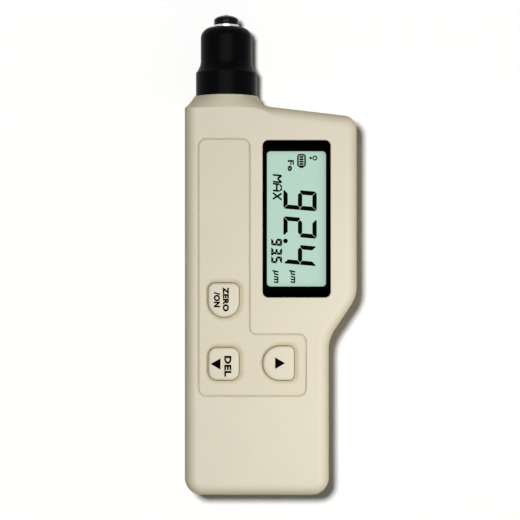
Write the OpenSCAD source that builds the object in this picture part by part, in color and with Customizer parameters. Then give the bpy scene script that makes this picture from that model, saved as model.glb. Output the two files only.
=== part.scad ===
// Handheld coating thickness gauge: a two-part moulded housing with a display head,
// three keys and a spring-loaded magnetic probe on its end.
// It lies on its back: +Z leaves the display, +Y runs to the probe, and X is across.
// The origin is under the middle of the whole length, on the back face. Millimetres.

/* [Body] */
// Width across the display head
head_w = 59; // [56:0.5:64]
// Width of the handle
handle_w = 49.5; // [47:0.5:52]
// Thickness from back face to front face
body_t = 27; // [27:0.5:32]
// Length from the bottom edge to the collar's rim
body_len = 136.5; // [134:0.5:145]
// Height of the shoulder's lower bend above the bottom edge
shoulder_low = 53.3; // [50:0.1:58]
// Height of the shoulder's upper bend above the bottom edge
shoulder_high = 67.5; // [63:0.1:72]
// Height of the head's right corner above the bottom edge
head_top = 129.1; // [127:0.1:131]
// Slope of the head's top edge, in degrees
top_slope = 6.7; // [3:0.1:9]
// Corner radius at the bottom, seen from the front
corner_r = 6; // [5:0.5:10]
// Radius of both bends of the shoulder
shoulder_r = 12; // [8:0.5:16]
// Radius of the head's right corner
head_r = 5; // [4.5:0.5:9]
// Rounding of the front and back edges
edge_r = 4.5; // [3:0.1:4.9]
// Wall of the moulded shells
wall = 2.2; // [1.8:0.1:2.6]
// Taper of the side walls between parting line and edge rounding
draft = 0.25; // [0.1:0.05:0.4]
// Width and depth of the parting line's small chamfer
seam = 0.25; // [0.1:0.05:0.4]

/* [Collar] */
// Probe axis from the left side
probe_in = 14.2; // [13.8:0.1:15]
// Diameter of the collar's rim
collar_d = 22.2; // [22:0.1:23]
// Length of the collar's change from the body's square section to its round rim
collar_len = 4.7; // [4:0.1:5.5]
// Half width of the collar's square section on the side of the display
collar_right = 13.2; // [12.5:0.1:14]
// Depth of the collar from its rim to the inside of the housing
collar_depth = 9.7; // [9:0.1:11]
// Size of the soft blend between the collar and the head's top edge
collar_blend = 2.4; // [1:0.1:4]

/* [Probe] */
// Diameter of the sleeve's barrel
sleeve_d = 21; // [20:0.1:21.2]
// Diameter of the sleeve's nose
nose_d = 17.7; // [17:0.1:19]
// Length of the barrel in front of the collar
barrel_len = 8.2; // [6:0.1:10]
// Length of the hollow flare from the barrel to the nose
flare_len = 4.2; // [3:0.1:6]
// Length of the nose's straight part
nose_len = 7.8; // [6:0.1:10]
// Radius of the nose's round shoulder
nose_r = 3.8; // [3:0.1:4]
// Diameter of the sensing tip
tip_d = 8.6; // [8.2:0.1:9]
// Length of tip that stands out of the sleeve
tip_out = 4.5; // [4:0.1:5.5]
// Travel of the tip into the sleeve
probe_travel = 2.5; // [1:0.1:3]
// Bore of the sleeve behind the nose
sleeve_bore = 14; // [13.6:0.1:14.4]
// Diameter of the pole pin in the tip
pole_d = 3; // [2.6:0.1:3.2]
// Diameter of the probe spring's wire
spring_wire = 0.8; // [0.6:0.1:1]
// Turns of the probe spring
spring_turns = 8; // [6:1:9]

/* [Display] */
// Width of the display window
window_w = 22.8; // [22:0.1:24]
// Length of the display window
window_h = 53; // [52:0.1:54]
// Corner radius of the display window
window_r = 1.8; // [1:0.1:2.5]
// Middle of the window from the head's right side
window_in = 20.8; // [20:0.1:22]
// Middle of the window above the bottom edge
window_up = 94.1; // [93:0.1:95]
// Width of the clear view inside the black border
view_w = 20; // [19:0.1:20.5]
// Length of the clear view inside the black border
view_h = 45.8; // [45:0.1:46.5]
// Thickness of the window
window_t = 1.5; // [1:0.1:1.8]
// Width of the display glass
glass_w = 24.4; // [24:0.1:25]
// Length of the display glass
glass_h = 50.4; // [50:0.1:51]
// Thickness of each of the two glass sheets
glass_t = 1.1; // [0.9:0.05:1.2]

/* [Keys] */
// Left side of the keypad overlay from the body's left side
pad_in = 5.2; // [5:0.1:5.6]
// Width of the overlay's tall strip
pad_strip_w = 16.9; // [16:0.1:18]
// Width of the overlay's foot
pad_foot_w = 35.9; // [35:0.1:37]
// Bottom of the overlay above the bottom edge
pad_low = 34.4; // [33:0.1:36]
// Height of the overlay's foot
pad_foot_h = 20.5; // [20:0.1:22]
// Height of the whole overlay
pad_h = 86.5; // [85:0.1:88]
// Corner radius of the overlay
pad_r = 2.4; // [1.5:0.1:3]
// Thickness of the overlay
pad_t = 0.6; // [0.3:0.05:0.8]
// Gap line round the overlay
pad_gap = 0.4; // [0.2:0.05:0.5]
// How far the keys stand above the front face
key_proud = 1; // [0.4:0.1:1.2]
// Travel of the keys
key_travel = 0.8; // [0.4:0.1:1]
// Gap round the keys
key_gap = 0.25; // [0.2:0.05:0.35]
// Rounding of the keys' top edges
key_edge = 0.6; // [0.3:0.1:0.8]
// How far left of the strip's middle its two keys sit
key_shift = 0.1; // [0:0.05:0.5]
// Width of the zero key
zero_w = 10.5; // [9.5:0.1:11]
// Height of the zero key
zero_h = 11.6; // [10:0.1:12]
// Middle of the zero key above the overlay's bottom
zero_up = 32.2; // [31:0.1:36]
// Radius of the zero key's lower corners
zero_low_r = 5.2; // [3:0.1:5.2]
// Radius of the zero key's upper corners
zero_high_r = 2.3; // [1.5:0.1:4]
// Width of the delete key
delete_w = 10.4; // [9.5:0.1:11]
// Height of the delete key
delete_h = 11; // [10:0.1:12]
// Middle of the delete key above the overlay's bottom
delete_up = 10.7; // [10:0.1:11.5]
// Radius of the delete key's corners
delete_r = 2.8; // [1.5:0.1:4]
// Width of the up key
up_w = 10.6; // [9.5:0.1:11]
// Height of the up key
up_h = 11.6; // [10:0.1:12]
// Middle of the up key from the overlay's right side
up_in = 9; // [8:0.1:10]
// Middle of the up key above the overlay's bottom
up_up = 10.9; // [10:0.1:11.5]
// Radius of the up key's left corners
up_left_r = 5.6; // [3:0.1:5.6]
// Radius of the up key's right corners
up_right_r = 2; // [1.5:0.1:4]

/* [Battery] */
// Diameter of one cell
cell_d = 10.5; // [10.3:0.1:10.6]
// Length of one cell with its positive nub
cell_len = 44.5; // [44:0.1:44.8]
// Space between neighbouring cells
cell_gap = 0.4; // [0.3:0.1:0.6]
// Compressed length of the cells' contact springs
contact_len = 4.4; // [4:0.1:5]
// Wall of the battery bay
bay_wall = 1.2; // [1:0.1:1.4]
// Thickness of the battery door
door_t = 2; // [1.8:0.1:2.2]
// Width of the door's running tongues
tongue_w = 0.8; // [0.6:0.1:0.9]
// Clearance of the door all round
door_gap = 0.2; // [0.15:0.05:0.3]

/* [Screws and board] */
// Diameter of the housing screws' heads
screw_head_d = 4.2; // [4:0.1:4.4]
// Diameter of the housing screws' shanks
screw_d = 2.3; // [2:0.1:2.6]
// Length of the housing screws under their heads
screw_len = 10; // [8:0.5:12]
// Outer diameter of the screw posts
post_d = 5.6; // [5.4:0.1:6]
// Thickness of the circuit board
board_t = 1.6; // [1.2:0.1:2]

/* [Hidden] */
$fn = 64;

// Steps of every rounded corner and of the edge rounding
arc_steps = 10;
edge_steps = 7;
// A cut reaches this far past what it cuts
over = 1;
// Clearance between fixed pieces that seat in each other
fit = 0.1;
// Posts and ribs run this far into the wall that carries them
root = 0.3;

// Main places in X and Y
overall = body_len + barrel_len + flare_len + nose_len + nose_r + tip_out;
y_low = -overall / 2;
x_left = -head_w / 2;
x_head = head_w / 2;
x_handle = x_left + handle_w;
probe_x = x_left + probe_in;
rim_y = y_low + body_len;
slope = tan(top_slope);
rim_r = collar_d / 2;
collar_slope = (collar_right - rim_r) / collar_len;
// Power of the superellipse that stands for the collar's square section
collar_power = 7;
half_t = body_t / 2;
// A point well inside the outline, from which the whole outline can be seen
hub = [probe_x + 6, y_low + body_len / 2];

// Corner lists hold [x, y, radius], counter-clockwise
function place(c) = [c[0], c[1]];
function unit(v) = v / norm(v);
function left_of(v) = [-v[1], v[0]];
function before(c, i) = place(c[(i + len(c) - 1) % len(c)]);
function after(c, i) = place(c[(i + 1) % len(c)]);

// A corner list moved inwards by d: edges shift, convex radii shrink and concave radii grow
function inset(c, d) = [for (i = [0:len(c) - 1])
    let (q = place(c[i]), u = unit(q - before(c, i)), v = unit(after(c, i) - q))
    let (m = (left_of(u) + left_of(v)) / (1 + u * v))
    [q[0] + d * m[0], q[1] + d * m[1],
        c[i][2] == 0 ? 0 : max(0.05, c[i][2] - d * sign(cross(u, v)))]];

// The points of one corner: its arc, or the corner itself where it is sharp
function corner(c, i, steps = arc_steps) =
    let (q = place(c[i]), u = unit(q - before(c, i)), v = unit(after(c, i) - q), r = c[i][2])
    r == 0 ? [q] :
    let (side = sign(cross(u, v)), turn = acos(u * v), start = q - r * tan(turn / 2) * u)
    let (centre = start + side * r * left_of(u), out = start - centre)
    [for (k = [0:steps]) let (a = side * turn * k / steps)
        centre + [out[0] * cos(a) - out[1] * sin(a), out[0] * sin(a) + out[1] * cos(a)]];

function rounded(c, steps = arc_steps) = [for (i = [0:len(c) - 1]) each corner(c, i, steps)];

function box_corners(w, h, r) =
    [[-w / 2, -h / 2, r], [w / 2, -h / 2, r], [w / 2, h / 2, r], [-w / 2, h / 2, r]];

function shifted(c, p) = [for (q = c) [q[0] + p[0], q[1] + p[1], q[2]]];

function at_height(points, z) = [for (p = points) [p[0], p[1], z]];

// A closed solid through equal rings of points: sides between neighbours, and end caps
// fanned from a middle point
module skin(rings, middle) {
    n = len(rings[0]);
    last = len(rings) - 1;
    low = n * (last + 1);
    points = [each [for (r = rings) each r],
        [middle[0], middle[1], rings[0][0][2]], [middle[0], middle[1], rings[last][0][2]]];
    sides = [for (j = [0:last - 1], i = [0:n - 1]) let (k = (i + 1) % n)
        each [[j * n + i, (j + 1) * n + i, (j + 1) * n + k], [j * n + i, (j + 1) * n + k, j * n + k]]];
    caps = [for (i = [0:n - 1]) let (k = (i + 1) % n)
        each [[low, i, k], [low + 1, last * n + k, last * n + i]]];
    polyhedron(points, concat(sides, caps));
}

// A plate with the outline c, whose upper edge is rounded by r
module soft_plate(c, z0, z1, r, steps = 4) {
    rings = concat([at_height(rounded(c), z0)], [for (k = [0:steps]) let (a = 90 * k / steps)
        at_height(rounded(inset(c, r * (1 - cos(a)))), z1 - r * (1 - sin(a)))]);
    skin(rings, [for (i = [0, 1]) (c[0][i] + c[2][i]) / 2]);
}

module flat_plate(c, z0, z1) {
    translate([0, 0, z0]) linear_extrude(z1 - z0) polygon(rounded(c));
}

module block(x, y, z) {
    translate([x[0], y[0], z[0]]) cube([x[1] - x[0], y[1] - y[0], z[1] - z[0]]);
}

module upright(p, d, z0, z1) {
    translate([p[0], p[1], z0]) cylinder(h = z1 - z0, d = d);
}

// A round piece on the probe's axis: its profile is turned about Y
module on_probe_axis() {
    translate([probe_x, 0, half_t]) rotate([-90, 0, 0]) children();
}

// A ring or rod on the probe's axis between two places in Y
module probe_round(d, y0, y1, hole = 0) {
    on_probe_axis() translate([0, 0, y0]) difference() {
        cylinder(h = y1 - y0, d = d);
        if (hole > 0) translate([0, 0, -over]) cylinder(h = y1 - y0 + 2 * over, d = hole);
    }
}

// A wire swept along its centre points, with a round section
function section(points, i, r, sides) =
    let (n = len(points), along = unit(points[min(i + 1, n - 1)] - points[max(i - 1, 0)]))
    let (ref = abs(along[2]) > 0.9 ? [1, 0, 0] : [0, 0, 1])
    let (u = unit(cross(ref, along)), v = cross(along, u))
    [for (k = [0:sides - 1]) let (a = -360 * k / sides) points[i] + r * (cos(a) * u + sin(a) * v)];

module wire(points, d, sides = 8) {
    n = len(points);
    rings = [for (i = [0:n - 1]) each section(points, i, d / 2, sides)];
    sides_of = [for (j = [0:n - 2], i = [0:sides - 1]) let (k = (i + 1) % sides)
        each [[j * sides + i, j * sides + k, (j + 1) * sides + k],
            [j * sides + i, (j + 1) * sides + k, (j + 1) * sides + i]]];
    polyhedron(rings, concat(sides_of,
        [[for (k = [sides - 1:-1:0]) k]], [[for (k = [0:sides - 1]) (n - 1) * sides + k]]));
}

// A compression spring along Y from y0 to y1, from radius r0 to r1, about the point c in X and Z
function coil(c, y0, y1, r0, r1, turns, steps = 12) = [for (i = [0:turns * steps])
    let (t = i / (turns * steps), r = r0 + (r1 - r0) * t, a = 360 * i / steps)
    [c[0] + r * cos(a), y0 + (y1 - y0) * t, c[1] + r * sin(a)]];

// Outline of the body
body_corners = [
    [x_left, y_low, corner_r],
    [x_handle, y_low, corner_r],
    [x_handle, y_low + shoulder_low, shoulder_r],
    [x_head, y_low + shoulder_high, shoulder_r],
    [x_head, y_low + head_top, head_r],
    [x_left, y_low + head_top + head_w * slope, 0]];

function head_edge(x, d) = y_low + head_top + (x_head - x) * slope - d * sqrt(1 + slope * slope);
// How far a point at dx, h from the probe axis lies from the rim's circle (0) to the square section (1)
function collar_share(dx, h) =
    let (r = norm([dx, h]), a = dx < 0 ? probe_in : collar_right)
    r <= rim_r ? 0 :
    let (square = r / pow(pow(abs(dx) / a, collar_power) + pow(abs(h) / half_t, collar_power), 1 / collar_power))
    (r - rim_r) / (square - rim_r);
function collar_edge(x, h) = rim_y - collar_len * collar_share(x - probe_x, h);
function soft_max(a, b, r) = max(a, b) + pow(max(0, r - abs(a - b)), 2) / (4 * r);
function top_edge(x, h, d) = soft_max(head_edge(x, d), collar_edge(x, h), collar_blend);

// Where the collar leaves the head's top edge at the parting line
collar_foot = (probe_x + rim_r + (rim_y - y_low - head_top - x_head * slope) * collar_slope)
    / (1 - slope * collar_slope);

// The outline at height h above the parting plane, with its edges moved inwards by d: five
// rounded corners, then the top edge over the collar, back to the left side
function outline(h, d) =
    let (c = inset(body_corners, d), flat = sqrt(max(0.04, rim_r * rim_r - h * h)))
    let (right = collar_foot + 2 * collar_blend, left = x_left + d)
    concat([for (i = [0:4]) each corner(c, i)],
        [for (k = [0:14]) let (x = right + (probe_x + flat - right) * k / 14) [x, top_edge(x, h, d)]],
        [for (k = [1:3]) let (x = probe_x + flat - 2 * flat * k / 4) [x, collar_edge(x, h)]],
        [for (k = [0:8]) let (x = probe_x - flat + (left - probe_x + flat) * k / 8) [x, collar_edge(x, h)]]);

// Outside of one half of the housing, from the parting plane at 0 up to the face
module half_outside() {
    straight = half_t - edge_r;
    rise = [seam, straight / 3, straight * 2 / 3];
    rings = concat([at_height(outline(0, seam), 0)],
        [for (h = rise) at_height(outline(h, draft * h / straight), h)],
        [for (k = [0:edge_steps]) let (a = 90 * k / edge_steps)
            let (h = half_t - edge_r * (1 - sin(a)), d = draft + (edge_r - draft) * (1 - cos(a)))
            at_height(outline(h, d), h)]);
    skin(rings, hub);
}

// Space inside one half of the housing, which stops short of the collar
inner_top = rim_y - collar_depth;
cavity_corners = inset([for (i = [0:4]) body_corners[i],
    each [[collar_foot, head_edge(collar_foot, 0), 0], [collar_foot, inner_top + wall, 0],
        [x_left, inner_top + wall, 0]]], wall);
// A point right of the cavity's step beside the collar, from which the whole cavity can be seen
inner_hub = [collar_foot + 2 * edge_r, hub[1]];

module half_cavity(reach = 0) {
    r = edge_r - wall;
    top = half_t - wall;
    rings = concat([at_height(rounded(cavity_corners, 5), -reach)], [for (k = [0:2])
        at_height(rounded(inset(cavity_corners, r * (1 - cos(45 * k))), 5), top - r * (1 - sin(45 * k)))]);
    skin(rings, inner_hub);
}

module half_shell() {
    difference() {
        half_outside();
        half_cavity(over);
    }
}

// Places along Z
back_z = 0;
face_z = body_t;
inner_face = face_z - wall;
inner_back = back_z + wall;
gasket_t = 0.2;
window_sink = 0.1;
window_z = face_z - window_sink - window_t;
ledge_t = 1.1;
ledge_z = window_z - gasket_t - ledge_t;
lcd_z = ledge_z - fit;
backlight_t = 2.4;
backlight_z = lcd_z - 2 * glass_t - fit - backlight_t;
board_clear = 1.6;
board_z1 = backlight_z - board_clear;
board_z0 = board_z1 - board_t;

// Screws
screw_in = 4.2;
screw_low = 12.5;
screw_left_up = 100.5;
screw_head_in = 5.3;
screw_head_up = 124.1;
screw_slot = 0.7;
screw_head_t = 1.6;
post_floor = 3.9;
screw_sites = [
    [x_left + screw_in, y_low + screw_left_up],
    [x_head - screw_head_in, y_low + screw_head_up],
    [x_left + screw_in, y_low + screw_low],
    [x_handle - screw_in, y_low + screw_low]];
screw_seat = half_t - post_floor;

// Battery bay, in the back of the handle
bay_x = (x_left + x_handle) / 2;
cell_pitch = cell_d + cell_gap;
bay_half = 1.5 * cell_pitch + cell_gap / 2;
plate_t = 0.4;
nub_reach = 0.8;
bay_y0 = y_low + 4.9;
bay_y1 = bay_y0 + plate_t + contact_len + cell_len + nub_reach + plate_t;
cell_lift = 0.3;
cell_z = door_t + cell_lift + cell_d / 2;
bay_top = cell_z + cell_d / 2 + cell_gap;

// Battery door
door_half = bay_half + 0.5;
door_y1 = bay_y1 + 1.4;
door_rise = 5;
tongue_t = 1;
tongue_z = door_t - tongue_t + 0.1;

// Window, keys and overlay in X and Y
window_mid = [x_head - window_in, y_low + window_up];
pad_x = x_left + pad_in;
pad_y = y_low + pad_low;
overlay_corners = [
    [pad_x, pad_y, pad_r], [pad_x + pad_foot_w, pad_y, pad_r],
    [pad_x + pad_foot_w, pad_y + pad_foot_h, pad_r], [pad_x + pad_strip_w, pad_y + pad_foot_h, pad_r],
    [pad_x + pad_strip_w, pad_y + pad_h, pad_r], [pad_x, pad_y + pad_h, pad_r]];

// Keys: each has its middle from the overlay's lower left corner, its width and height, and
// the radii of its corners, counter-clockwise from the lower left
key_flat = 0.05;
zero_round = min(zero_low_r, zero_w / 2 - key_flat);
up_round = min(up_left_r, up_h / 2 - key_flat);
zero_key_shape = [pad_strip_w / 2 - key_shift, zero_up, zero_w, zero_h,
    [zero_round, zero_round, zero_high_r, zero_high_r]];
delete_key_shape = [pad_strip_w / 2 - key_shift, delete_up, delete_w, delete_h,
    [delete_r, delete_r, delete_r, delete_r]];
up_key_shape = [pad_foot_w - up_in, up_up, up_w, up_h, [up_round, up_right_r, up_right_r, up_round]];
key_shapes = [zero_key_shape, delete_key_shape, up_key_shape];
key_flange = 1;
key_flange_t = 1.2;
key_stem_d = 5;

function key_mid(k) = [pad_x + k[0], pad_y + k[1]];
function key_corners(k) = shifted([for (i = [0:3]) let (c = box_corners(k[2], k[3], 0)[i])
    [c[0], c[1], k[4][i]]], key_mid(k));

// Circuit board
board_side = 8;
board_probe_room = 18;
board_margin = 1.7;
board_handle_in = 4.4;
board_low_in = 1.1;
board_post_in = 2.6;
board_post_up = 45.4;
board_post_left = 2.4;
board_post_right = 4.2;
board_post_drop = 4;
board_x0 = x_left + board_side;
board_strip_y = inner_top - board_probe_room;
board_head_x = window_mid[0] + glass_w / 2 + board_margin;
board_handle_x = x_handle - board_handle_in;
board_y1 = window_mid[1] + glass_h / 2 + board_margin;
board_y0 = pad_y + board_low_in;
board_notch_x = window_mid[0] - glass_w / 2 - board_margin;
board_corners = [
    [board_x0, board_y0, 1], [board_handle_x, board_y0, 1],
    [board_handle_x, y_low + shoulder_low + 5, 2], [board_head_x, y_low + shoulder_high + 4, 2],
    [board_head_x, board_y1, 1], [board_notch_x, board_y1, 1],
    [board_notch_x, board_strip_y, 1], [board_x0, board_strip_y, 1]];
board_post_d = 4.6;
board_screw_d = 1.8;
board_screw_head_d = 3.4;
board_screw_head_t = 1.3;
board_screw_len = 5;
board_sites = [
    [board_x0 + board_post_in, board_strip_y - board_post_in],
    [board_x0 + board_post_left, pad_y + board_post_up],
    [board_handle_x - board_post_in, board_y0 + board_post_in],
    [board_head_x - board_post_right, y_low + shoulder_high - board_post_drop]];

// Dome mat under the keys
mat_t = 1;
dome_h = 2;
dome_flare = 3;
dome_z = board_z1 + mat_t + dome_h;

// Probe along Y
sleeve_tip_y = rim_y + barrel_len + flare_len + nose_len + nose_r;
nose_wall = 5;
stop_y = sleeve_tip_y - nose_wall;
flange_t = 2.1;
flange_d = body_t - 2 * wall - 2 * fit;
flange_y = inner_top - fit - flange_t;
tail_d = 17;
tail_y = flange_y - 6;
cradle_t = 1.8;
cradle_rim = 2.5;
cradle_y = flange_y - fit - cradle_t;
seat_t = 3.8;
seat_y = tail_y + 0.2;
slide_gap = 0.1;
guide_d = sleeve_bore - 2 * slide_gap;
tip_flange_t = 2.9;
tip_y = stop_y - slide_gap - tip_flange_t;
guide_t = 4;
guide_y = tip_y - guide_t;
stem_d = 5;
stem_bore = 2.8;
stem_y = seat_y - 2;
cup_wall = 0.6;
dome_rise = 1.7;
tip_end_y = sleeve_tip_y + tip_out;
pole_out = 0.4;
cup_floor_y = tip_end_y - pole_out - dome_rise - cup_wall;
spring_d = 9.5;

// Probe socket on the back of the board, and the cable's route to it
socket_size = [6, 5, 4.4];
cable_d = 2.2;
cable_route = [[0, 6, 0], [0, 0, 0], [0, -3, 0], [0.3, -5, -0.2], [0.9, -7, -0.5], [1.3, -9, -0.6],
    [1.5, -11, -0.5], [1.5, -12.6, -0.4]];
cable_end = cable_route[len(cable_route) - 1];
cable_plug = 1.5;
socket_y = stem_y + cable_end[1] + cable_plug - socket_size[1] / 2;

// The rib that stops the sleeve from being pushed in
module cradle(z0, z1) {
    block([x_left + wall - root, probe_x + tail_d / 2 + cradle_rim], [cradle_y, cradle_y + cradle_t], [z0, z1]);
}

module front_housing() {
    color("#d8d0b4") difference() {
        union() {
            translate([0, 0, half_t]) half_shell();
            // Screw posts, board posts, the frame behind the window and the probe's cradle
            for (p = screw_sites) upright(p, post_d, half_t, inner_face + root);
            for (p = board_sites) upright(p, board_post_d, board_z1, inner_face + root);
            flat_plate(shifted(box_corners(window_w + 2 * wall, window_h + 2 * wall, window_r + wall),
                window_mid), ledge_z, inner_face + root);
            cradle(half_t, inner_face + root);
        }
        probe_round(sleeve_d + 2 * fit, inner_top - over, rim_y + over);
        probe_round(tail_d + 2 * fit, cradle_y - over, cradle_y + cradle_t + over);
        flat_plate(shifted(box_corners(window_w + 2 * fit, window_h + 2 * fit, window_r + fit), window_mid),
            window_z - gasket_t, face_z + over);
        flat_plate(shifted(box_corners(view_w + ledge_t, view_h + ledge_t, window_r), window_mid),
            ledge_z - over, window_z);
        flat_plate(inset(overlay_corners, -pad_gap), face_z - pad_t, face_z + over);
        for (k = key_shapes) flat_plate(inset(key_corners(k), -key_gap), inner_face - over, face_z - pad_t / 2);
        for (p = screw_sites) upright(p, screw_d - 0.3, half_t - over, screw_seat + screw_len + over);
        for (p = board_sites) upright(p, board_screw_d - 0.3, board_z1 - over, board_z0 + board_screw_len + 0.5);
    }
}

// The bay's four walls and its ceiling, over the cells
module bay() {
    side = bay_half + bay_wall + 1;
    block([bay_x - side, bay_x + side], [bay_y0 - bay_wall, bay_y1 + bay_wall],
        [back_z + wall / 2, bay_top + bay_wall]);
}

// What the door takes out of the rear shell: its own place and its tongues' slots
module door_space(gap) {
    block([bay_x - door_half - gap, bay_x + door_half + gap], [y_low - over, door_y1 + gap],
        [back_z - over, door_rise + gap]);
}

module tongues(gap, y0) {
    reach = door_half + tongue_w + gap;
    block([bay_x - reach, bay_x + reach], [y0, door_y1 - 1 + gap], [tongue_z - gap, tongue_z + tongue_t + gap]);
}

module rear_housing() {
    color("#d8d0b4") difference() {
        union() {
            translate([0, 0, half_t]) mirror([0, 0, 1]) half_shell();
            bay();
            for (p = screw_sites) upright(p, post_d, inner_back - root, half_t);
            cradle(inner_back - root, half_t);
        }
        probe_round(sleeve_d + 2 * fit, inner_top - over, rim_y + over);
        probe_round(tail_d + 2 * fit, cradle_y - over, cradle_y + cradle_t + over);
        block([bay_x - bay_half, bay_x + bay_half], [bay_y0, bay_y1], [back_z - over, bay_top]);
        intersection() {
            door_space(door_gap);
            union() {
                block([x_left, x_handle], [y_low - over, door_y1 + over], [back_z - over, door_t + door_gap]);
                block([x_left, x_handle], [y_low - over, bay_y0 - bay_wall - door_gap],
                    [back_z - over, door_rise + over]);
            }
        }
        tongues(door_gap, y_low - over);
        for (p = screw_sites) upright(p, post_d + 2 * fit, half_t, bay_top + bay_wall + over);
        for (p = screw_sites) {
            upright(p, screw_d + 0.4, screw_seat - over, half_t + over);
            upright(p, screw_head_d + 0.4, back_z - over, screw_seat);
        }
    }
}

grip_grooves = 6;
module battery_door() {
    color("#d8d0b4") difference() {
        union() {
            intersection() {
                translate([0, 0, half_t]) mirror([0, 0, 1]) half_outside();
                door_space(0);
                union() {
                    block([x_left, x_handle], [y_low - over, door_y1], [back_z, door_t]);
                    block([x_left, x_handle], [y_low - over, y_low + wall], [back_z, door_rise]);
                }
            }
            tongues(0, bay_y0);
        }
        // Grip grooves near the door's upper end
        for (i = [0:grip_grooves - 1])
            block([bay_x - 7, bay_x + 7], [door_y1 - 6 - 1.8 * i, door_y1 - 5 - 1.8 * i], [back_z - over, 0.5]);
    }
}

module keypad_overlay() {
    color("#d9d1b6") difference() {
        flat_plate(overlay_corners, face_z - pad_t, face_z);
        for (k = key_shapes) flat_plate(inset(key_corners(k), -key_gap), face_z - pad_t - over, face_z + over);
    }
}

module key(k) {
    c = key_corners(k);
    flange_z = inner_face - fit - key_flange_t;
    color("#ddd6bb") union() {
        soft_plate(c, flange_z + key_flange_t / 2, face_z + key_proud, key_edge);
        flat_plate(inset(c, -key_flange), flange_z, flange_z + key_flange_t);
        upright(key_mid(k), key_stem_d, dome_z, flange_z + key_flange_t / 2);
    }
}
module zero_on_key() { key(zero_key_shape); }
module delete_key() { key(delete_key_shape); }
module up_key() { key(up_key_shape); }

module display_window() {
    color("#20242280") flat_plate(shifted(box_corners(window_w, window_h, window_r), window_mid),
        window_z, window_z + window_t);
}

module window_gasket() {
    color("#080808") difference() {
        flat_plate(shifted(box_corners(window_w, window_h, window_r), window_mid), window_z - gasket_t, window_z);
        flat_plate(shifted(box_corners(view_w, view_h, window_r - 0.6), window_mid),
            window_z - gasket_t - over, window_z + over);
    }
}

// Two sheets sealed together: the front one stands out at the left, over the contact strip
contact_ledge = 2.3;
module lcd_glass() {
    glass_x = window_mid[0] - glass_w / 2;
    y = [window_mid[1] - glass_h / 2, window_mid[1] + glass_h / 2];
    color("#b6d6c8") union() {
        block([glass_x, glass_x + glass_w], y, [lcd_z - glass_t, lcd_z]);
        block([glass_x + contact_ledge, glass_x + glass_w], y, [lcd_z - 2 * glass_t, lcd_z - glass_t]);
    }
}

holder_wall = 1;
module lcd_holder() {
    outer = [glass_w + 2 * holder_wall + 2 * fit, glass_h + 2 * holder_wall + 2 * fit];
    color("#e8e8e0") difference() {
        flat_plate(shifted(box_corners(outer[0], outer[1], 1), window_mid), board_z1, lcd_z);
        flat_plate(shifted(box_corners(glass_w + 2 * fit, glass_h + 2 * fit, 0.3), window_mid),
            backlight_z - fit, lcd_z + over);
        flat_plate(shifted(box_corners(glass_w - 1, glass_h - 1, 0.3), window_mid), board_z1 - over, lcd_z);
    }
}

module backlight_panel() {
    x = window_mid[0] - glass_w / 2;
    color("#f4f6ee") block([x + contact_ledge, x + glass_w], [window_mid[1] - glass_h / 2, window_mid[1] + glass_h / 2],
        [backlight_z, backlight_z + backlight_t]);
}

module zebra_strip() {
    x = window_mid[0] - glass_w / 2 + 0.6;
    color("#3a3a3e") block([x, x + contact_ledge - 1], [window_mid[1] - glass_h / 2 + 1, window_mid[1] + glass_h / 2 - 1],
        [board_z1, lcd_z - glass_t]);
}

module main_board() {
    color("#1f6b3a") difference() {
        flat_plate(board_corners, board_z0, board_z1);
        for (p = board_sites) upright(p, board_screw_d + 0.4, board_z0 - over, board_z1 + over);
    }
}

module dome_mat() {
    margin = 6.4;
    left = key_mid(delete_key_shape);
    right = key_mid(up_key_shape);
    top = key_mid(zero_key_shape);
    color("#c9c6bd") union() {
        block([left[0] - margin + 1.2, right[0] + margin], [left[1] - margin, left[1] + margin], [board_z1, board_z1 + mat_t]);
        block([left[0] - margin + 1.2, left[0] + margin], [left[1], top[1] + margin], [board_z1, board_z1 + mat_t]);
        for (k = key_shapes) translate([key_mid(k)[0], key_mid(k)[1], board_z1 + mat_t])
            cylinder(h = dome_h, d1 = key_stem_d + dome_flare, d2 = key_stem_d);
    }
}

// Parts on the back of the board
module on_board(p, size) {
    block([p[0] - size[0] / 2, p[0] + size[0] / 2], [p[1] - size[1] / 2, p[1] + size[1] / 2],
        [board_z0 - size[2], board_z0]);
}

chip_in = 2;
chip_mid = [window_mid[0] - chip_in, window_mid[1]];
chip_size = [10, 10, 1.6];
chip_lift = 0.2;
chip_pins = 10;
pin_pitch = 0.8;
pin_half = 0.18;
pin_t = 0.6;
pin_start = 4.5;
pin_end = 6;
module microcontroller() {
    color("#191919") union() {
        translate([0, 0, -chip_lift]) on_board(chip_mid, chip_size);
        for (side = [0, 90, 180, 270], i = [0:chip_pins - 1]) {
            y = pin_pitch * (i - chip_pins / 2 + 0.5);
            translate([chip_mid[0], chip_mid[1], 0]) rotate(side)
                block([pin_start, pin_end], [y - pin_half, y + pin_half], [board_z0 - pin_t, board_z0]);
        }
    }
}
amplifier_right = 6;
amplifier_drop = 8;
amplifier_size = [4, 5, 1.5];
amplifier_pin = [1.2, 0.4, 0.5];
amplifier_pin_out = 2.5;
amplifier_pin_low = 1.9;
amplifier_pitch = 1.27;
module amplifier_chip() {
    p = [probe_x + amplifier_right, socket_y - amplifier_drop];
    color("#191919") union() {
        on_board(p, amplifier_size);
        for (side = [-1, 1], i = [0:3])
            on_board([p[0] + side * amplifier_pin_out, p[1] - amplifier_pin_low + amplifier_pitch * i], amplifier_pin);
    }
}
crystal_drop = 10;
crystal_size = [10.5, 3.8, 3.4];
module crystal() {
    color("#b9bcc0") on_board([chip_mid[0], chip_mid[1] - crystal_drop], crystal_size);
}
buzzer_d = 12;
buzzer_h = 6;
buzzer_in = 12.9;
buzzer_side = 11.9;
module buzzer() {
    color("#141414") upright([board_head_x - buzzer_side, board_y1 - buzzer_in], buzzer_d,
        board_z0 - buzzer_h, board_z0);
}
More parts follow.
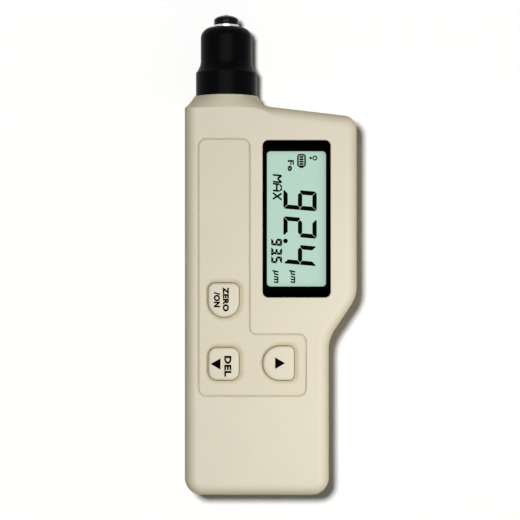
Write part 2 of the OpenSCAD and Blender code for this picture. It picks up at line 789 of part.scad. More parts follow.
module probe_socket() {
    color("#efeadb") difference() {
        on_board([probe_x + cable_end[0], socket_y], socket_size);
        translate([probe_x + cable_end[0], stem_y + cable_end[1], half_t + cable_end[2]]) rotate([-90, 0, 0])
            cylinder(h = socket_size[1], d = cable_d + 2 * fit);
    }
}
capacitor_side = 6.9;
capacitor_low = 14;
capacitor_pitch = 5.6;
capacitor_d = 4.6;
capacitor_h = 6.5;
module filter_capacitors() {
    color("#274a8a") for (i = [0:2])
        upright([board_head_x - capacitor_side, chip_mid[1] - capacitor_low + capacitor_pitch * i], capacitor_d,
            board_z0 - capacitor_h, board_z0);
}

// A screw that points up from its seat: countersunk cross slot, head and shank
module screw(p, z, head_d, head_t, shank_d, len, slot) {
    difference() {
        union() {
            upright(p, head_d, z - head_t, z);
            upright(p, shank_d, z - head_t / 2, z + len);
        }
        for (a = [0, 90]) translate([p[0], p[1], z - head_t]) rotate(a)
            cube([head_d * 0.6, slot, head_t], center = true);
    }
}
module housing_screws() {
    color("#8d9096") for (p = screw_sites)
        screw(p, screw_seat, screw_head_d, screw_head_t, screw_d - 0.4, screw_len, screw_slot);
}
module board_screws() {
    color("#a8abb0") for (p = board_sites)
        screw(p, board_z0, board_screw_head_d, board_screw_head_t, board_screw_d - 0.4, board_screw_len, 0.5);
}

// The black sleeve: tail, flange, barrel, hollow flare, nose and round shoulder
module probe_sleeve() {
    r_barrel = sleeve_d / 2;
    r_nose = nose_d / 2;
    y_flare = rim_y + barrel_len;
    y_nose = y_flare + flare_len;
    flare = [for (k = [0:8]) let (t = k / 8)
        [r_barrel - (r_barrel - r_nose) * (1 - pow(1 - t, 2)), y_flare + flare_len * t]];
    shoulder = [for (k = [0:8]) let (a = 90 * k / 8)
        [r_nose - nose_r * (1 - cos(a)), y_nose + nose_len + nose_r * sin(a)]];
    tip_bore = tip_d / 2 + slide_gap;
    color("#0b0b0d") on_probe_axis() rotate_extrude() polygon(concat(
        [[sleeve_bore / 2, tail_y], [tail_d / 2, tail_y], [tail_d / 2, flange_y], [flange_d / 2, flange_y],
            [flange_d / 2, flange_y + flange_t], [r_barrel, flange_y + flange_t]],
        flare, shoulder,
        [[tip_bore, sleeve_tip_y], [tip_bore, stop_y], [sleeve_bore / 2, stop_y]]));
}

// The plated cup at the end of the probe: flange, barrel and domed nose with the pole's hole
module probe_tip() {
    r = tip_d / 2;
    dome_y = tip_end_y - pole_out - dome_rise;
    dome = [for (k = [0:8]) let (a = 70 * k / 8) [r * cos(a) , dome_y + dome_rise * sin(a) / sin(70)]];
    hole = pole_d / 2 + 0.05;
    color("#c9ccd0") on_probe_axis() rotate_extrude() polygon(concat(
        [[r - cup_wall, tip_y], [guide_d / 2, tip_y], [guide_d / 2, tip_y + tip_flange_t], [r, tip_y + tip_flange_t]],
        [for (p = dome) if (p[0] > hole) p],
        [[hole, dome_y + dome_rise], [hole, cup_floor_y], [r - cup_wall, cup_floor_y]]));
}

module pole_pin() {
    y0 = tip_y + 0.3;
    r = pole_d / 2;
    color("#8f9296") on_probe_axis() rotate_extrude() polygon(concat(
        [[0, y0], [r, y0], [r, tip_end_y - r * 0.8]],
        [for (k = [1:6]) let (a = 90 * k / 6) [r * cos(a), tip_end_y - r * 0.8 * (1 - sin(a))]]));
}

// Bobbin with two winding spaces on the pole pin
spool_d = 4.2;
spool_flange_t = 0.7;
bobbin_y0 = tip_y + 0.4;
bobbin_y1 = cup_floor_y - fit;
bobbin_mid = (bobbin_y0 + bobbin_y1) / 2;
module coil_bobbin() {
    flange = tip_d - 2 * cup_wall - 2 * fit;
    hole = pole_d + 0.1;
    color("#e6e0cf") union() {
        probe_round(spool_d, bobbin_y0, bobbin_y1, hole);
        for (y = [bobbin_y0, bobbin_mid - spool_flange_t / 2, bobbin_y1 - spool_flange_t])
            probe_round(flange, y, y + spool_flange_t, hole);
    }
}
winding_d = tip_d - 2 * cup_wall - 0.8;
module drive_coil() {
    color("#b4622c") probe_round(winding_d, bobbin_y0 + spool_flange_t, bobbin_mid - spool_flange_t / 2, spool_d);
}
module sensing_coil() {
    color("#a4521f") probe_round(winding_d, bobbin_mid + spool_flange_t / 2, bobbin_y1 - spool_flange_t, spool_d);
}

// Guide behind the tip, with a hollow stem for the coil leads
module probe_carrier() {
    color("#2a2a2c") difference() {
        union() {
            probe_round(guide_d, guide_y, tip_y);
            probe_round(stem_d, stem_y, guide_y + 1);
        }
        probe_round(stem_bore, stem_y - over, tip_y + over);
    }
}

module probe_spring() {
    r = spring_d / 2;
    lift = spring_wire / 2 + 0.05;
    color("#b5b8bc") wire(coil([probe_x, half_t], seat_y + seat_t + lift, guide_y - lift, r, r, spring_turns), spring_wire, 6);
}

module spring_seat() {
    color("#77797d") probe_round(sleeve_bore - 0.1, seat_y, seat_y + seat_t, stem_d + 2 * slide_gap);
}

module probe_cable() {
    color("#2b2b2b") wire([for (p = cable_route) [probe_x + p[0], stem_y + p[1], half_t + p[2]]], cable_d);
}

// Round cells: can, nub and shrink sleeve in one; up is 1 where the nub points to the probe
module cell(column, up) {
    x = bay_x + column * cell_pitch;
    nub = 0.8;
    y_can = up > 0 ? bay_y0 + plate_t + contact_len : bay_y1 - plate_t - contact_len;
    translate([x, y_can, cell_z]) rotate([-90 * up, 0, 0]) union() {
        cylinder(h = cell_len - nub, d = cell_d);
        cylinder(h = cell_len, d = 3.8);
    }
}
module left_cell() { color("#30333a") cell(-1, 1); }
module middle_cell() { color("#30333a") cell(0, -1); }
module right_cell() { color("#30333a") cell(1, 1); }

// At each cell's flat end a coil spring, at its nub a plate with a round pip
contact_wide_r = 3.8;
contact_narrow_r = 2.2;
contact_wire = 0.6;
module contact_springs() {
    lift = 0.35;
    color("#c2c5ca") for (column = [-1, 0, 1]) {
        x = bay_x + column * cell_pitch;
        up = column == 0 ? -1 : 1;
        y0 = up > 0 ? bay_y0 + plate_t : bay_y1 - plate_t;
        wire(coil([x, cell_z], y0 + up * lift, y0 + up * (contact_len - lift), contact_wide_r, contact_narrow_r, 4, 10),
            contact_wire, 6);
    }
}
module contact_plates() {
    plate = 8.4;
    color("#c2c5ca") for (column = [-1, 0, 1]) {
        x = bay_x + column * cell_pitch;
        for (end = [-1, 1]) {
            y = end < 0 ? bay_y0 : bay_y1 - plate_t;
            block([x - plate / 2, x + plate / 2], [y, y + plate_t], [cell_z - plate / 2, cell_z + plate / 2]);
        }
        up = column == 0 ? -1 : 1;
        y = up > 0 ? bay_y1 - plate_t - nub_reach : bay_y0 + plate_t / 2;
        translate([x, y, cell_z]) rotate([-90, 0, 0]) cylinder(h = nub_reach + plate_t / 2, d = 3);
    }
}

front_housing();
rear_housing();
battery_door();
keypad_overlay();
display_window();
window_gasket();
lcd_glass();
lcd_holder();
backlight_panel();
zebra_strip();
main_board();
dome_mat();
zero_on_key();
delete_key();
up_key();
microcontroller();
amplifier_chip();
crystal();
buzzer();
probe_socket();
filter_capacitors();
board_screws();
housing_screws();
probe_sleeve();
probe_tip();
pole_pin();
coil_bobbin();
drive_coil();
sensing_coil();
probe_carrier();
probe_spring();
spring_seat();
probe_cable();
left_cell();
middle_cell();
right_cell();
contact_springs();
contact_plates();
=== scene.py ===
"""A handheld coating thickness gauge: moulded shells, keypad, display and spring-loaded probe."""

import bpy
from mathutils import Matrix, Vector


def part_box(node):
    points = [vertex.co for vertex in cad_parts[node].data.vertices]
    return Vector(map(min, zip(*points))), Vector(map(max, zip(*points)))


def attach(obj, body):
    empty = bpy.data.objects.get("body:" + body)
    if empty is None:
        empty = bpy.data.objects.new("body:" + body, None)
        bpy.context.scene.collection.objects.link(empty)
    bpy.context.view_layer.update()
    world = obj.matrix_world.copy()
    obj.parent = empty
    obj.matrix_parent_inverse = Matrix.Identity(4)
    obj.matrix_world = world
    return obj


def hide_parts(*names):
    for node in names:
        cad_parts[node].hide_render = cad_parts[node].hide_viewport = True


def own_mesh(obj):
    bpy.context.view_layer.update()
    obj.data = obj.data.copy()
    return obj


bl_info = {
    "name": "Coating Thickness Gauge",
    "version": (1, 0, 0),
    "blender": (4, 5, 0),
    "location": "View3D > Sidebar > Gauge",
    "description": "Dresses the packed gauge with its shells, keys, display, probe and studio",
    "category": "Object",
}

import math

import bmesh
import bpy
import numpy as np
from mathutils import Vector
from mathutils.geometry import tessellate_polygon

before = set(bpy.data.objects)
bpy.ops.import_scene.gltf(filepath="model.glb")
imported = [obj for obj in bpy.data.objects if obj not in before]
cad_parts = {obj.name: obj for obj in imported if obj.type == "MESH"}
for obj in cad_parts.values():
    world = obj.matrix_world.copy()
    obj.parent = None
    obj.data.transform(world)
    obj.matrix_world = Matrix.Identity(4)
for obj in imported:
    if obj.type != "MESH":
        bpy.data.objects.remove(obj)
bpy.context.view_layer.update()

# Sizes in this script are millimetres, in the frame's own axes, until a mesh is made
MM = 0.001
ROOT = "body"


def node_box(node):
    """Lowest and highest corner of a CAD node in millimetres, as the rows of an array."""
    return np.array(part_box(node)) / MM


FRONT = node_box("front_housing")
BACK = node_box("rear_housing")
OVERLAY = node_box("keypad_overlay")
WINDOW = node_box("display_window")
GLASS = node_box("lcd_glass")
SLEEVE = node_box("probe_sleeve")
TIP = node_box("probe_tip")
PIN = node_box("pole_pin")
MAT = node_box("dome_mat")
SPRING = node_box("probe_spring")
BOARD = node_box("main_board")

# Main places
FACE_Z = FRONT[1, 2]
RIM_Y = FRONT[1, 1]
WINDOW_MID = (WINDOW[0] + WINDOW[1])[:2] / 2
AXIS_X, AXIS_Z = (SLEEVE[0] + SLEEVE[1])[[0, 2]] / 2
# The housing's own radii, gaps and steps, as the CAD model has them
WINDOW_R = 1.8
OVERLAY_R = 2.4
STRIP_W = 16.9
FOOT_H = 20.5
OVERLAY_GAP = 0.4
KEY_GAP = 0.25
KEY_FLANGE = 1.0
KEY_FLANGE_T = 1.2
KEY_STEM_D = 5.0
KEY_STEP = 0.15
FLANGE_GAP = 0.1
FRONT_WALL = 2.2
INNER_FACE = FACE_Z - FRONT_WALL
# Radii of each key's corners, counter-clockwise from the lower left
KEY_RADII = {
    "zero_on_key": (5.2, 5.2, 2.3, 2.3),
    "delete_key": (2.8, 2.8, 2.8, 2.8),
    "up_key": (5.6, 2.0, 2.0, 5.6),
}
ARC_STEPS = 14
# Least radius of a corner, and distance at which points are one
MIN_R = 0.05
MERGE_DIST = 0.0005
# Shading of the pieces: degrees from which an edge is sharp, and weight of large faces
PIECE_SHARP = 35
NORMAL_WEIGHT = 80


def length(name, description, default):
    """A length property, given in millimetres."""
    return bpy.props.FloatProperty(
        name=name, description=description, default=default * MM, min=0.0, precision=5, unit="LENGTH")


def colour(name, description, default):
    """A colour property, given as the sRGB bytes that a picture shows."""
    share = np.array(default) / 255
    linear = np.where(share <= 0.04045, share / 12.92, ((share + 0.055) / 1.055) ** 2.4)
    return bpy.props.FloatVectorProperty(
        name=name, description=description, default=tuple(linear), min=0.0, max=1.0, size=3, subtype="COLOR")


class GaugeSizes(bpy.types.PropertyGroup):
    """Small sizes that belong to the looks."""

    rim_round: length("Rim rounding", "Rounding of the shells' openings", 0.3)
    overlay_round: length("Overlay rounding", "Rounding of the overlay's outer edge", 0.3)
    # The glue thickness is the height of a dark ring of painted shade in the overlay's gap
    gap_shade_thickness: length("Glue thickness", "Height of the glue in the gap round the overlay", 0.15)
    film_shift: length("Film shift", "How far the film's openings sit to the right of the keys", 0.11)
    film_rise: length("Film rise", "How far the film's openings sit above the keys", 0.02)
    pocket_depth: length("Pocket depth", "How far the overlay sinks round each key", 0.48)
    pocket_flat: length("Pocket ledge", "Width of the pocket's floor round each key", 0.08)
    pocket_slope: length("Pocket slope", "Width of the slope from the pocket up to the face", 1.6)
    key_round: length("Key rounding", "Rounding of the keys' top edges", 0.85)
    key_draft: length("Key draft", "How much wider a key is below the overlay", 0.1)
    key_crown: length("Key crown", "How far the keys fall from their middle to their edge", 0.1)
    ink_relief: length("Ink relief", "Thickness of the printed legends", 0.03)
    lens_round: length("Lens rounding", "Rounding of the window's front edge", 0.2)
    lens_plate: length("Lens plate", "Thickness of the clear plate over the printed border", 0.3)
    mark_depth: length("Mark depth", "Thickness of the display's dark marks", 0.04)
    digit_height: length("Digit height", "Height of the large digits", 11.3)
    digit_width: length("Digit width", "Width of the large digits", 6.7)
    digit_stroke: length("Digit stroke", "Width of a large digit's segments", 1.45)
    grain: length("Grain", "Size of the housing's moulded texture", 0.35)
    grain_depth: length("Grain depth", "Depth of the housing's moulded texture", 0.012)
    digit_slant: bpy.props.FloatProperty(
        name="Digit slant", description="Lean of the digits", default=math.radians(5), subtype="ANGLE")


class GaugeColours(bpy.types.PropertyGroup):
    """Colours of the finishes."""

    housing: colour("Housing", "Moulded shells", (223, 215, 194))
    overlay: colour("Overlay", "Keypad film", (219, 211, 188))
    key: colour("Keys", "Key caps", (221, 213, 191))
    # The glue colour is painted shade: a dark ring put in the gap round the overlay
    gap_shade: colour("Glue", "Glue in the gap round the overlay", (211, 201, 174))
    ink: colour("Ink", "Printed legends", (8, 6, 4))
    border: colour("Border", "Printed border of the window", (4, 3, 2))
    screen: colour("Screen", "Display ground", (187, 218, 202))
    mark: colour("Marks", "Dark display segments", (6, 10, 8))
    sleeve: colour("Sleeve", "Probe sleeve", (2, 2, 4))
    plated: colour("Plated metal", "Probe tip and contacts", (205, 205, 202))
    # The dome's colour is nearly black as a painted dark reflection on polished metal
    dome: colour("Dome", "Polished dome of the probe tip", (22, 20, 17))
    pole: colour("Pole", "Pole pin", (104, 99, 84))
    cell: colour("Cells", "Sleeves of the cells", (44, 47, 54))
    floor: colour("Floor", "Studio floor", (253, 253, 253))


def sizes():
    return bpy.context.scene.gauge_sizes


def colours():
    return bpy.context.scene.gauge_colours


def mm(value):
    """A length property's value in millimetres."""
    return value / MM


# Outlines: corner rows hold x, y and radius, counter-clockwise

def box_corners(low, high, radii):
    """Four corner rows of an upright rectangle."""
    x = np.array([low[0], high[0], high[0], low[0]])
    y = np.array([low[1], low[1], high[1], high[1]])
    return np.column_stack([x, y, np.broadcast_to(radii, 4)])


def edge_turns(corners):
    """Unit directions of the edges before and after each corner, and the sign of the turn between them."""
    q = corners[:, :2]
    step = np.roll(q, -1, 0) - q
    after = step / np.linalg.norm(step, axis=1, keepdims=True)
    before = np.roll(after, 1, 0)
    side = np.sign(before[:, 0] * after[:, 1] - before[:, 1] * after[:, 0])
    return before, after, side


def left_of(v):
    return np.column_stack([-v[:, 1], v[:, 0]])


def inset(corners, d):
    """Corner rows with each edge moved inwards by d: convex radii shrink by d and concave ones grow."""
    before, after, side = edge_turns(corners)
    mitre = (left_of(before) + left_of(after)) / (1 + (before * after).sum(1))[:, None]
    radii = np.maximum(MIN_R, corners[:, 2] - d * side)
    return np.column_stack([corners[:, :2] + d * mitre, radii])


def rounded(corners):
    """A closed line through the corners, each an arc about centre = start + side r n for t from 0 to 1."""
    before, after, side = edge_turns(corners)
    r = corners[:, 2]
    turn = np.arccos(np.clip((before * after).sum(1), -1, 1))
    start = corners[:, :2] - (r * np.tan(turn / 2))[:, None] * before
    centre = start + (side * r)[:, None] * left_of(before)
    out = start - centre
    a = (side * turn)[:, None] * np.linspace(0, 1, ARC_STEPS + 1)
    x = centre[:, :1] + out[:, :1] * np.cos(a) - out[:, 1:] * np.sin(a)
    y = centre[:, 1:] + out[:, :1] * np.sin(a) + out[:, 1:] * np.cos(a)
    return np.stack([x, y], -1).reshape(-1, 2)


def at_height(line, z):
    return np.column_stack([line, np.broadcast_to(z, len(line))])


def stacked(section):
    """Rings from pairs of a line and its height."""
    return np.array([at_height(line, z) for line, z in section])


# Surfaces: each is a pair of points and faces

def band(rings):
    """Quads between equal closed rings: point (j, i) joins (j + 1, i), and i runs round."""
    m, n = rings.shape[:2]
    j, i = np.mgrid[0:m - 1, 0:n]
    k = (i + 1) % n
    quads = np.stack([j * n + i, j * n + k, (j + 1) * n + k, (j + 1) * n + i], -1)
    return rings.reshape(-1, 3), quads.reshape(-1, 4).tolist()


def flat_area(loops, z):
    """Triangles that fill a flat area at height z, from its outer loop and the loops of its holes."""
    points = at_height(np.concatenate(loops), z)
    ends = np.cumsum([len(loop) for loop in loops])[:-1]
    fill = tessellate_polygon([list(map(Vector, part.tolist())) for part in np.split(points, ends)])
    return points, [list(t) for t in fill]


def rim(corners, z0, z1, r, steps=5):
    """A wall from z0 to z1 whose upper edge is a quarter round of radius r:
    the inset is r (1 - cos a), and the height is z1 - r (1 - sin a)."""
    a = np.linspace(0, math.pi / 2, steps + 1)
    levels = zip(r * (1 - np.cos(a)), z1 - r * (1 - np.sin(a)))
    return stacked([(rounded(corners), z0)] + [(rounded(inset(corners, d)), z) for d, z in levels])


def pocket(corners, z0, z1, steps=12):
    """A hole's wall from z0, a ledge round it, and a slope that is steepest there:
    the height is z1 less depth (1 - t)^2 (1 + t / 2)."""
    s = sizes()
    t = np.linspace(0, 1, steps + 1)
    out = np.concatenate([[0.0, 0.0], mm(s.pocket_flat) + mm(s.pocket_slope) * t])
    sunk = mm(s.pocket_depth) * (1 - t) ** 2 * (1 + t / 2)
    heights = np.concatenate([[z0, z1 - mm(s.pocket_depth)], z1 - sunk])
    return stacked((rounded(inset(corners, -d)), z) for d, z in zip(out, heights))


def circle_angles(count):
    return np.linspace(0, 2 * math.pi, count, endpoint=False)


def unit_circle(count):
    a = circle_angles(count)
    return np.column_stack([np.cos(a), np.sin(a)])


def turned(profile, axis, steps=96):
    """A profile of radius and y turned about an axis along Y at x, z: x + r cos a, y, z + r sin a."""
    a = circle_angles(steps)
    r, y = np.array(profile).T
    x = axis[0] + r[:, None] * np.cos(a)
    z = axis[1] + r[:, None] * np.sin(a)
    return np.stack([x, np.broadcast_to(y[:, None], x.shape), z], -1)


def arc(centre, r, start, end, steps):
    """Profile points on a circle, from one angle in degrees to another."""
    a = np.radians(np.linspace(start, end, steps + 1))
    return np.column_stack([centre[0] + r * np.cos(a), centre[1] + r * np.sin(a)])


def coil(axis, y, r, turns, steps):
    """A path that winds round an axis along Y, with an even change of y and of its radius."""
    t = np.linspace(0, 1, steps)
    a = 2 * math.pi * turns * t
    radius = r[0] + (r[1] - r[0]) * t
    along = y[0] + (y[1] - y[0]) * t
    return np.column_stack([axis[0] + radius * np.cos(a), along, axis[1] + radius * np.sin(a)])


def tube(path, radius, sides=14):
    """A round wire about a path that winds round Y: its section lies across the path, and its ends close."""
    along = np.gradient(path, axis=0)
    along /= np.linalg.norm(along, axis=1, keepdims=True)
    u = np.cross(along, (0.0, 1.0, 0.0))
    u /= np.linalg.norm(u, axis=1, keepdims=True)
    v = np.cross(along, u)
    a = circle_angles(sides)[:, None]
    rings = path[:, None] + radius * (np.cos(a) * u[:, None] + np.sin(a) * v[:, None])
    first = np.broadcast_to(path[0], (1, sides, 3))
    last = np.broadcast_to(path[-1], (1, sides, 3))
    return band(np.concatenate([first, rings, last]))


def joined(parts):
    """Several surfaces as one list of points and faces."""
    start = np.cumsum([0] + [len(points) for points, _ in parts])
    faces = [[i + s for i in face] for (_, rows), s in zip(parts, start) for face in rows]
    return np.concatenate([points for points, _ in parts]), faces


def capped(rims, low, high):
    """The walls of an outline and of its holes, closed by flat areas at both heights."""
    ends = [flat_area([rings[row][:, :2] for rings in rims], z) for row, z in ((-1, high), (0, low))]
    return joined([band(rings) for rings in rims] + ends)


def closed_mesh(name, points, faces):
    """A mesh in metres from points in millimetres, with its doubles merged and its faces turned outwards."""
    mesh = bpy.data.meshes.new(name)
    mesh.from_pydata((np.asarray(points) * MM).tolist(), [], faces)
    work = bmesh.new()
    work.from_mesh(mesh)
    bmesh.ops.remove_doubles(work, verts=work.verts, dist=MERGE_DIST * MM)
    bmesh.ops.dissolve_degenerate(work, edges=work.edges, dist=MERGE_DIST * MM)
    bmesh.ops.recalc_face_normals(work, faces=work.faces)
    work.to_mesh(mesh)
    work.free()
    return mesh


def placed(name, data):
    thing = bpy.data.objects.new(name, data)
    bpy.context.scene.collection.objects.link(thing)
    return thing


def paint(mesh, chosen):
    """Gives the second material to the faces that are chosen by their centres."""
    spots = np.array([p.center for p in mesh.polygons]) / MM
    mesh.polygons.foreach_set("material_index", chosen(spots).astype(np.int32))


def add_piece(mesh, body, materials, nodes=(), sharp=PIECE_SHARP):
    """Shades a finished mesh, lets it ride on a body and stand for CAD nodes."""
    mesh.polygons.foreach_set("use_smooth", np.ones(len(mesh.polygons), bool))
    mesh.set_sharp_from_angle(angle=math.radians(sharp))
    piece = placed(mesh.name, mesh)
    for material in materials:
        mesh.materials.append(material)
    weighted = piece.modifiers.new("weighted_normals", "WEIGHTED_NORMAL")
    weighted.keep_sharp = True
    weighted.weight = NORMAL_WEIGHT
    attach(piece, body)
    if nodes:
        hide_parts(*nodes)
    return piece


def add_solid(name, surface, body, materials, nodes=()):
    """A piece from points and faces in millimetres."""
    return add_piece(closed_mesh(name, *surface), body, materials, nodes)


# Finishes

# Noise values at which a tone is lowest and highest
TONE_ENDS = (0.3, 0.7)
# Painted shade: what is left of the colour on the upright sides, which are darker and yellower there
SIDE_SHADE_TONE = (0.9, 0.83, 0.62)
# Painted shade: what is left of the colour down in a recess
RECESS_SHADE_TONE = (0.84, 0.79, 0.68)
# Share of the display's brightness that comes from its backlight
BACKLIGHT = 0.6
STEEL = (0.5, 0.51, 0.53)


def add_node(tree, kind, values=None, **settings):
    """A new shader node with its settings, and with values for its inputs by name or number."""
    node = tree.nodes.new("ShaderNode" + kind)
    for name, value in settings.items():
        setattr(node, name, value)
    for entry, value in (values or {}).items():
        node.inputs[entry].default_value = value
    return node


def link(tree, source, output, goal, entry):
    """Joins a node's output to another node's input, each by its name or number."""
    tree.links.new(source.outputs[output], goal.inputs[entry])


def principled(material):
    return material.node_tree.nodes["Principled BSDF"]


def finish(name, tint, roughness, metallic=0.0, specular=0.5):
    """A material with its Principled shader's constants set."""
    material = bpy.data.materials.new(name)
    material.use_nodes = True
    inputs = principled(material).inputs
    inputs["Base Color"].default_value = (*tint, 1)
    inputs["Roughness"].default_value = roughness
    inputs["Metallic"].default_value = metallic
    inputs["Specular IOR Level"].default_value = specular
    return material


def object_noise(tree, size_mm, detail=2.0, stretch=(1, 1, 1)):
    """A noise on Object coordinates whose features are about size_mm across."""
    place = add_node(tree, "TexCoord")
    mapping = add_node(tree, "Mapping", {"Scale": stretch})
    noise = add_node(tree, "TexNoise", {"Scale": 1 / (size_mm * MM), "Detail": detail})
    link(tree, place, "Object", mapping, "Vector")
    link(tree, mapping, "Vector", noise, "Vector")
    return noise.outputs["Fac"]


def add_grain(material, size_mm, depth_mm, stretch=(1, 1, 1)):
    """A fine bump over the surface."""
    tree = material.node_tree
    bump = add_node(tree, "Bump", {"Strength": 1.0, "Distance": depth_mm * MM})
    tree.links.new(object_noise(tree, size_mm, 2.0, stretch), bump.inputs["Height"])
    link(tree, bump, "Normal", principled(material), "Normal")
    return material


def add_tone(material, tint, size_mm, spread, stretch=(1, 1, 1)):
    """Soft changes of colour from tint (1 - spread) to tint (1 + spread)."""
    tree = material.node_tree
    tint = np.array(tint)
    ramp = add_node(tree, "ValToRGB")
    ends = ramp.color_ramp.elements
    ends[0].position, ends[1].position = TONE_ENDS
    ends[0].color = (*(tint * (1 - spread)), 1)
    ends[1].color = (*np.minimum(tint * (1 + spread), 1), 1)
    tree.links.new(object_noise(tree, size_mm, 3.0, stretch), ramp.inputs["Fac"])
    link(tree, ramp, "Color", principled(material), "Base Color")
    return material


def add_sheen_change(material, size_mm, low, high):
    """Roughness that wanders between low and high."""
    tree = material.node_tree
    spread = add_node(tree, "MapRange", {"To Min": low, "To Max": high})
    tree.links.new(object_noise(tree, size_mm), spread.inputs["Value"])
    link(tree, spread, "Result", principled(material), "Roughness")
    return material


def add_painted_shade(material, source, none, full, tone):
    """Painted shade: the colour is multiplied by 1 where the third coordinate of a source is none, and by
    tone where it is full."""
    tree = material.node_tree
    base = principled(material).inputs["Base Color"]
    place = add_node(tree, "TexCoord")
    split = add_node(tree, "SeparateXYZ")
    share = add_node(tree, "MapRange", {"From Min": none, "From Max": full})
    mix = add_node(tree, "Mix", {"B": (*tone, 1)}, data_type="RGBA", blend_type="MULTIPLY")
    link(tree, place, source, split, "Vector")
    link(tree, split, "Z", share, "Value")
    link(tree, share, "Result", mix, "Factor")
    tree.links.new(base.links[0].from_socket, mix.inputs["A"])
    tree.links.new(mix.outputs["Result"], base)
    return material


def toned(name, tint, roughness, size_mm, spread, specular=0.5, stretch=(1, 1, 1)):
    """A smooth finish with soft changes of colour."""
    return add_tone(finish(name, tint, roughness, specular=specular), tint, size_mm, spread, stretch)


def moulded_plastic(name, tint, grain_mm, depth_mm, roughness):
    """Spark-textured plastic: fine grain, a slight change of tone and of sheen."""
    material = finish(name, tint, roughness, specular=0.35)
    add_grain(material, grain_mm, depth_mm)
    add_tone(material, tint, size_mm=9.0, spread=0.012)
    return add_sheen_change(material, size_mm=3.0, low=roughness - 0.05, high=roughness + 0.05)


def metal(name, tint, roughness, grain_mm=0.4):
    """Plated or turned metal with faint rings from its making."""
    material = finish(name, tint, roughness, metallic=1.0)
    add_grain(material, grain_mm, depth_mm=0.002, stretch=(0.2, 3, 0.2))
    return add_sheen_change(material, size_mm=1.5, low=roughness * 0.8, high=roughness * 1.25)


def housing_plastic():
    """The shells' plastic, with painted shade that makes it darker and yellower on its upright sides."""
    s = sizes()
    plastic = moulded_plastic("housing_plastic", colours().housing, mm(s.grain), mm(s.grain_depth), 0.55)
    # Painted shade: the colour darkens and yellows as the surface turns upright
    return add_painted_shade(plastic, "Normal", 1, 0, SIDE_SHADE_TONE)


def clear_lens():
    """Clear plastic that mirrors only at a slant: alpha is 0.5 f^3, with f from 0 face on to 1 edge on."""
    lens = finish("clear_lens", (1, 1, 1), 0.05, metallic=1.0)
    tree = lens.node_tree
    slant = add_node(tree, "LayerWeight", {"Blend": 0.5})
    cube = add_node(tree, "Math", {1: 3.0}, operation="POWER")
    half = add_node(tree, "Math", {1: 0.5}, operation="MULTIPLY")
    link(tree, slant, "Facing", cube, 0)
    link(tree, cube, "Value", half, 0)
    link(tree, half, "Value", principled(lens), "Alpha")
    return add_sheen_change(lens, size_mm=4.0, low=0.04, high=0.08)


def lit_screen(tint):
    """Display glass: part of its brightness is thrown back, and part comes from the panel behind it."""
    ground = (1 - BACKLIGHT) * np.array(tint)
    screen = toned("screen_glass", ground, 0.5, size_mm=14.0, spread=0.01, specular=0.0)
    inputs = principled(screen).inputs
    inputs["Emission Color"].default_value = (*tint, 1)
    inputs["Emission Strength"].default_value = BACKLIGHT
    return screen


def shared_material(name, make):
    """The material of that name, made on its first use."""
    return bpy.data.materials.get(name) or make(name)


def plated_metal():
    return shared_material("plated_metal", lambda name: metal(name, colours().plated, 0.14))


def border_ink():
    return shared_material("border_ink", lambda name: add_grain(
        finish(name, colours().border, 0.5, specular=0.0), size_mm=0.3, depth_mm=0.001))


# Housing shells: each node with its piece's name, its body and the height of the openings to round

SHELLS = (
    ("front_housing", "front_shell", ROOT, FACE_Z),
    ("rear_housing", "rear_shell", ROOT, BACK[0, 2]),
    ("battery_door", "battery_cover", "battery_door", BACK[0, 2]),
)
SHELL_SHARP = 32
# Angles in degrees: less is flat, and more is the edge of an opening
FLAT_ANGLE = 0.2
RIM_ANGLE = 60
RIM_SLACK = 0.01


def merged_shell(node, name, rim_z):
    """A merged copy of a CAD shell: flat areas become single faces, and the sharp edges of its openings
    at one height are rounded."""
    work = bmesh.new()
    work.from_mesh(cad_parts[node].data)
    bmesh.ops.remove_doubles(work, verts=work.verts, dist=MERGE_DIST * MM)
    bmesh.ops.dissolve_limit(
        work, angle_limit=math.radians(FLAT_ANGLE), use_dissolve_boundaries=False,
        verts=work.verts, edges=work.edges)
    sharp = [e for e in work.edges if e.is_manifold and e.calc_face_angle() > math.radians(RIM_ANGLE)]
    rims = [e for e in sharp if all(abs(v.co.z / MM - rim_z) < RIM_SLACK for v in e.verts)]
    bmesh.ops.bevel(
        work, geom=rims, offset=sizes().rim_round, offset_type="OFFSET", segments=3, profile=0.5,
        affect="EDGES", clamp_overlap=True)
    work.verts.index_update()
    points = [v.co[:] for v in work.verts]
    faces = [[v.index for v in f.verts] for f in work.faces]
    work.free()
    mesh = bpy.data.meshes.new(name)
    mesh.from_pydata(points, [], faces)
    return mesh


class GAUGE_OT_shells(bpy.types.Operator):
    """Make the front shell, the rear shell and the battery door"""

    bl_idname = "gauge.shells"
    bl_label = "Housing Shells"

    def execute(self, context):
        plastic = housing_plastic()
        for node, name, body, rim_z in SHELLS:
            add_piece(merged_shell(node, name, rim_z), body, [plastic], [node], SHELL_SHARP)
        return {"FINISHED"}


# Keypad overlay

# Room between the dark ring of painted shade and the overlay, and between that ring and the well's wall
GAP_SHADE_SLACK = 0.02


def key_corners(node):
    """Corner rows of a key's cap, inside its flange."""
    low, high = node_box(node)
    return box_corners(low[:2] + KEY_FLANGE, high[:2] - KEY_FLANGE, KEY_RADII[node])


def stepped_corners(box, strip_w, foot_h, r):
    """Corner rows of a plate with a wide foot and a tall strip at its left."""
    low, high = box[:, :2]
    step = (low[0] + strip_w, low[1] + foot_h)
    x = np.array([low[0], high[0], high[0], step[0], step[0], low[0]])
    y = np.array([low[1], low[1], step[1], step[1], high[1], high[1]])
    return np.column_stack([x, y, np.full(6, r)])


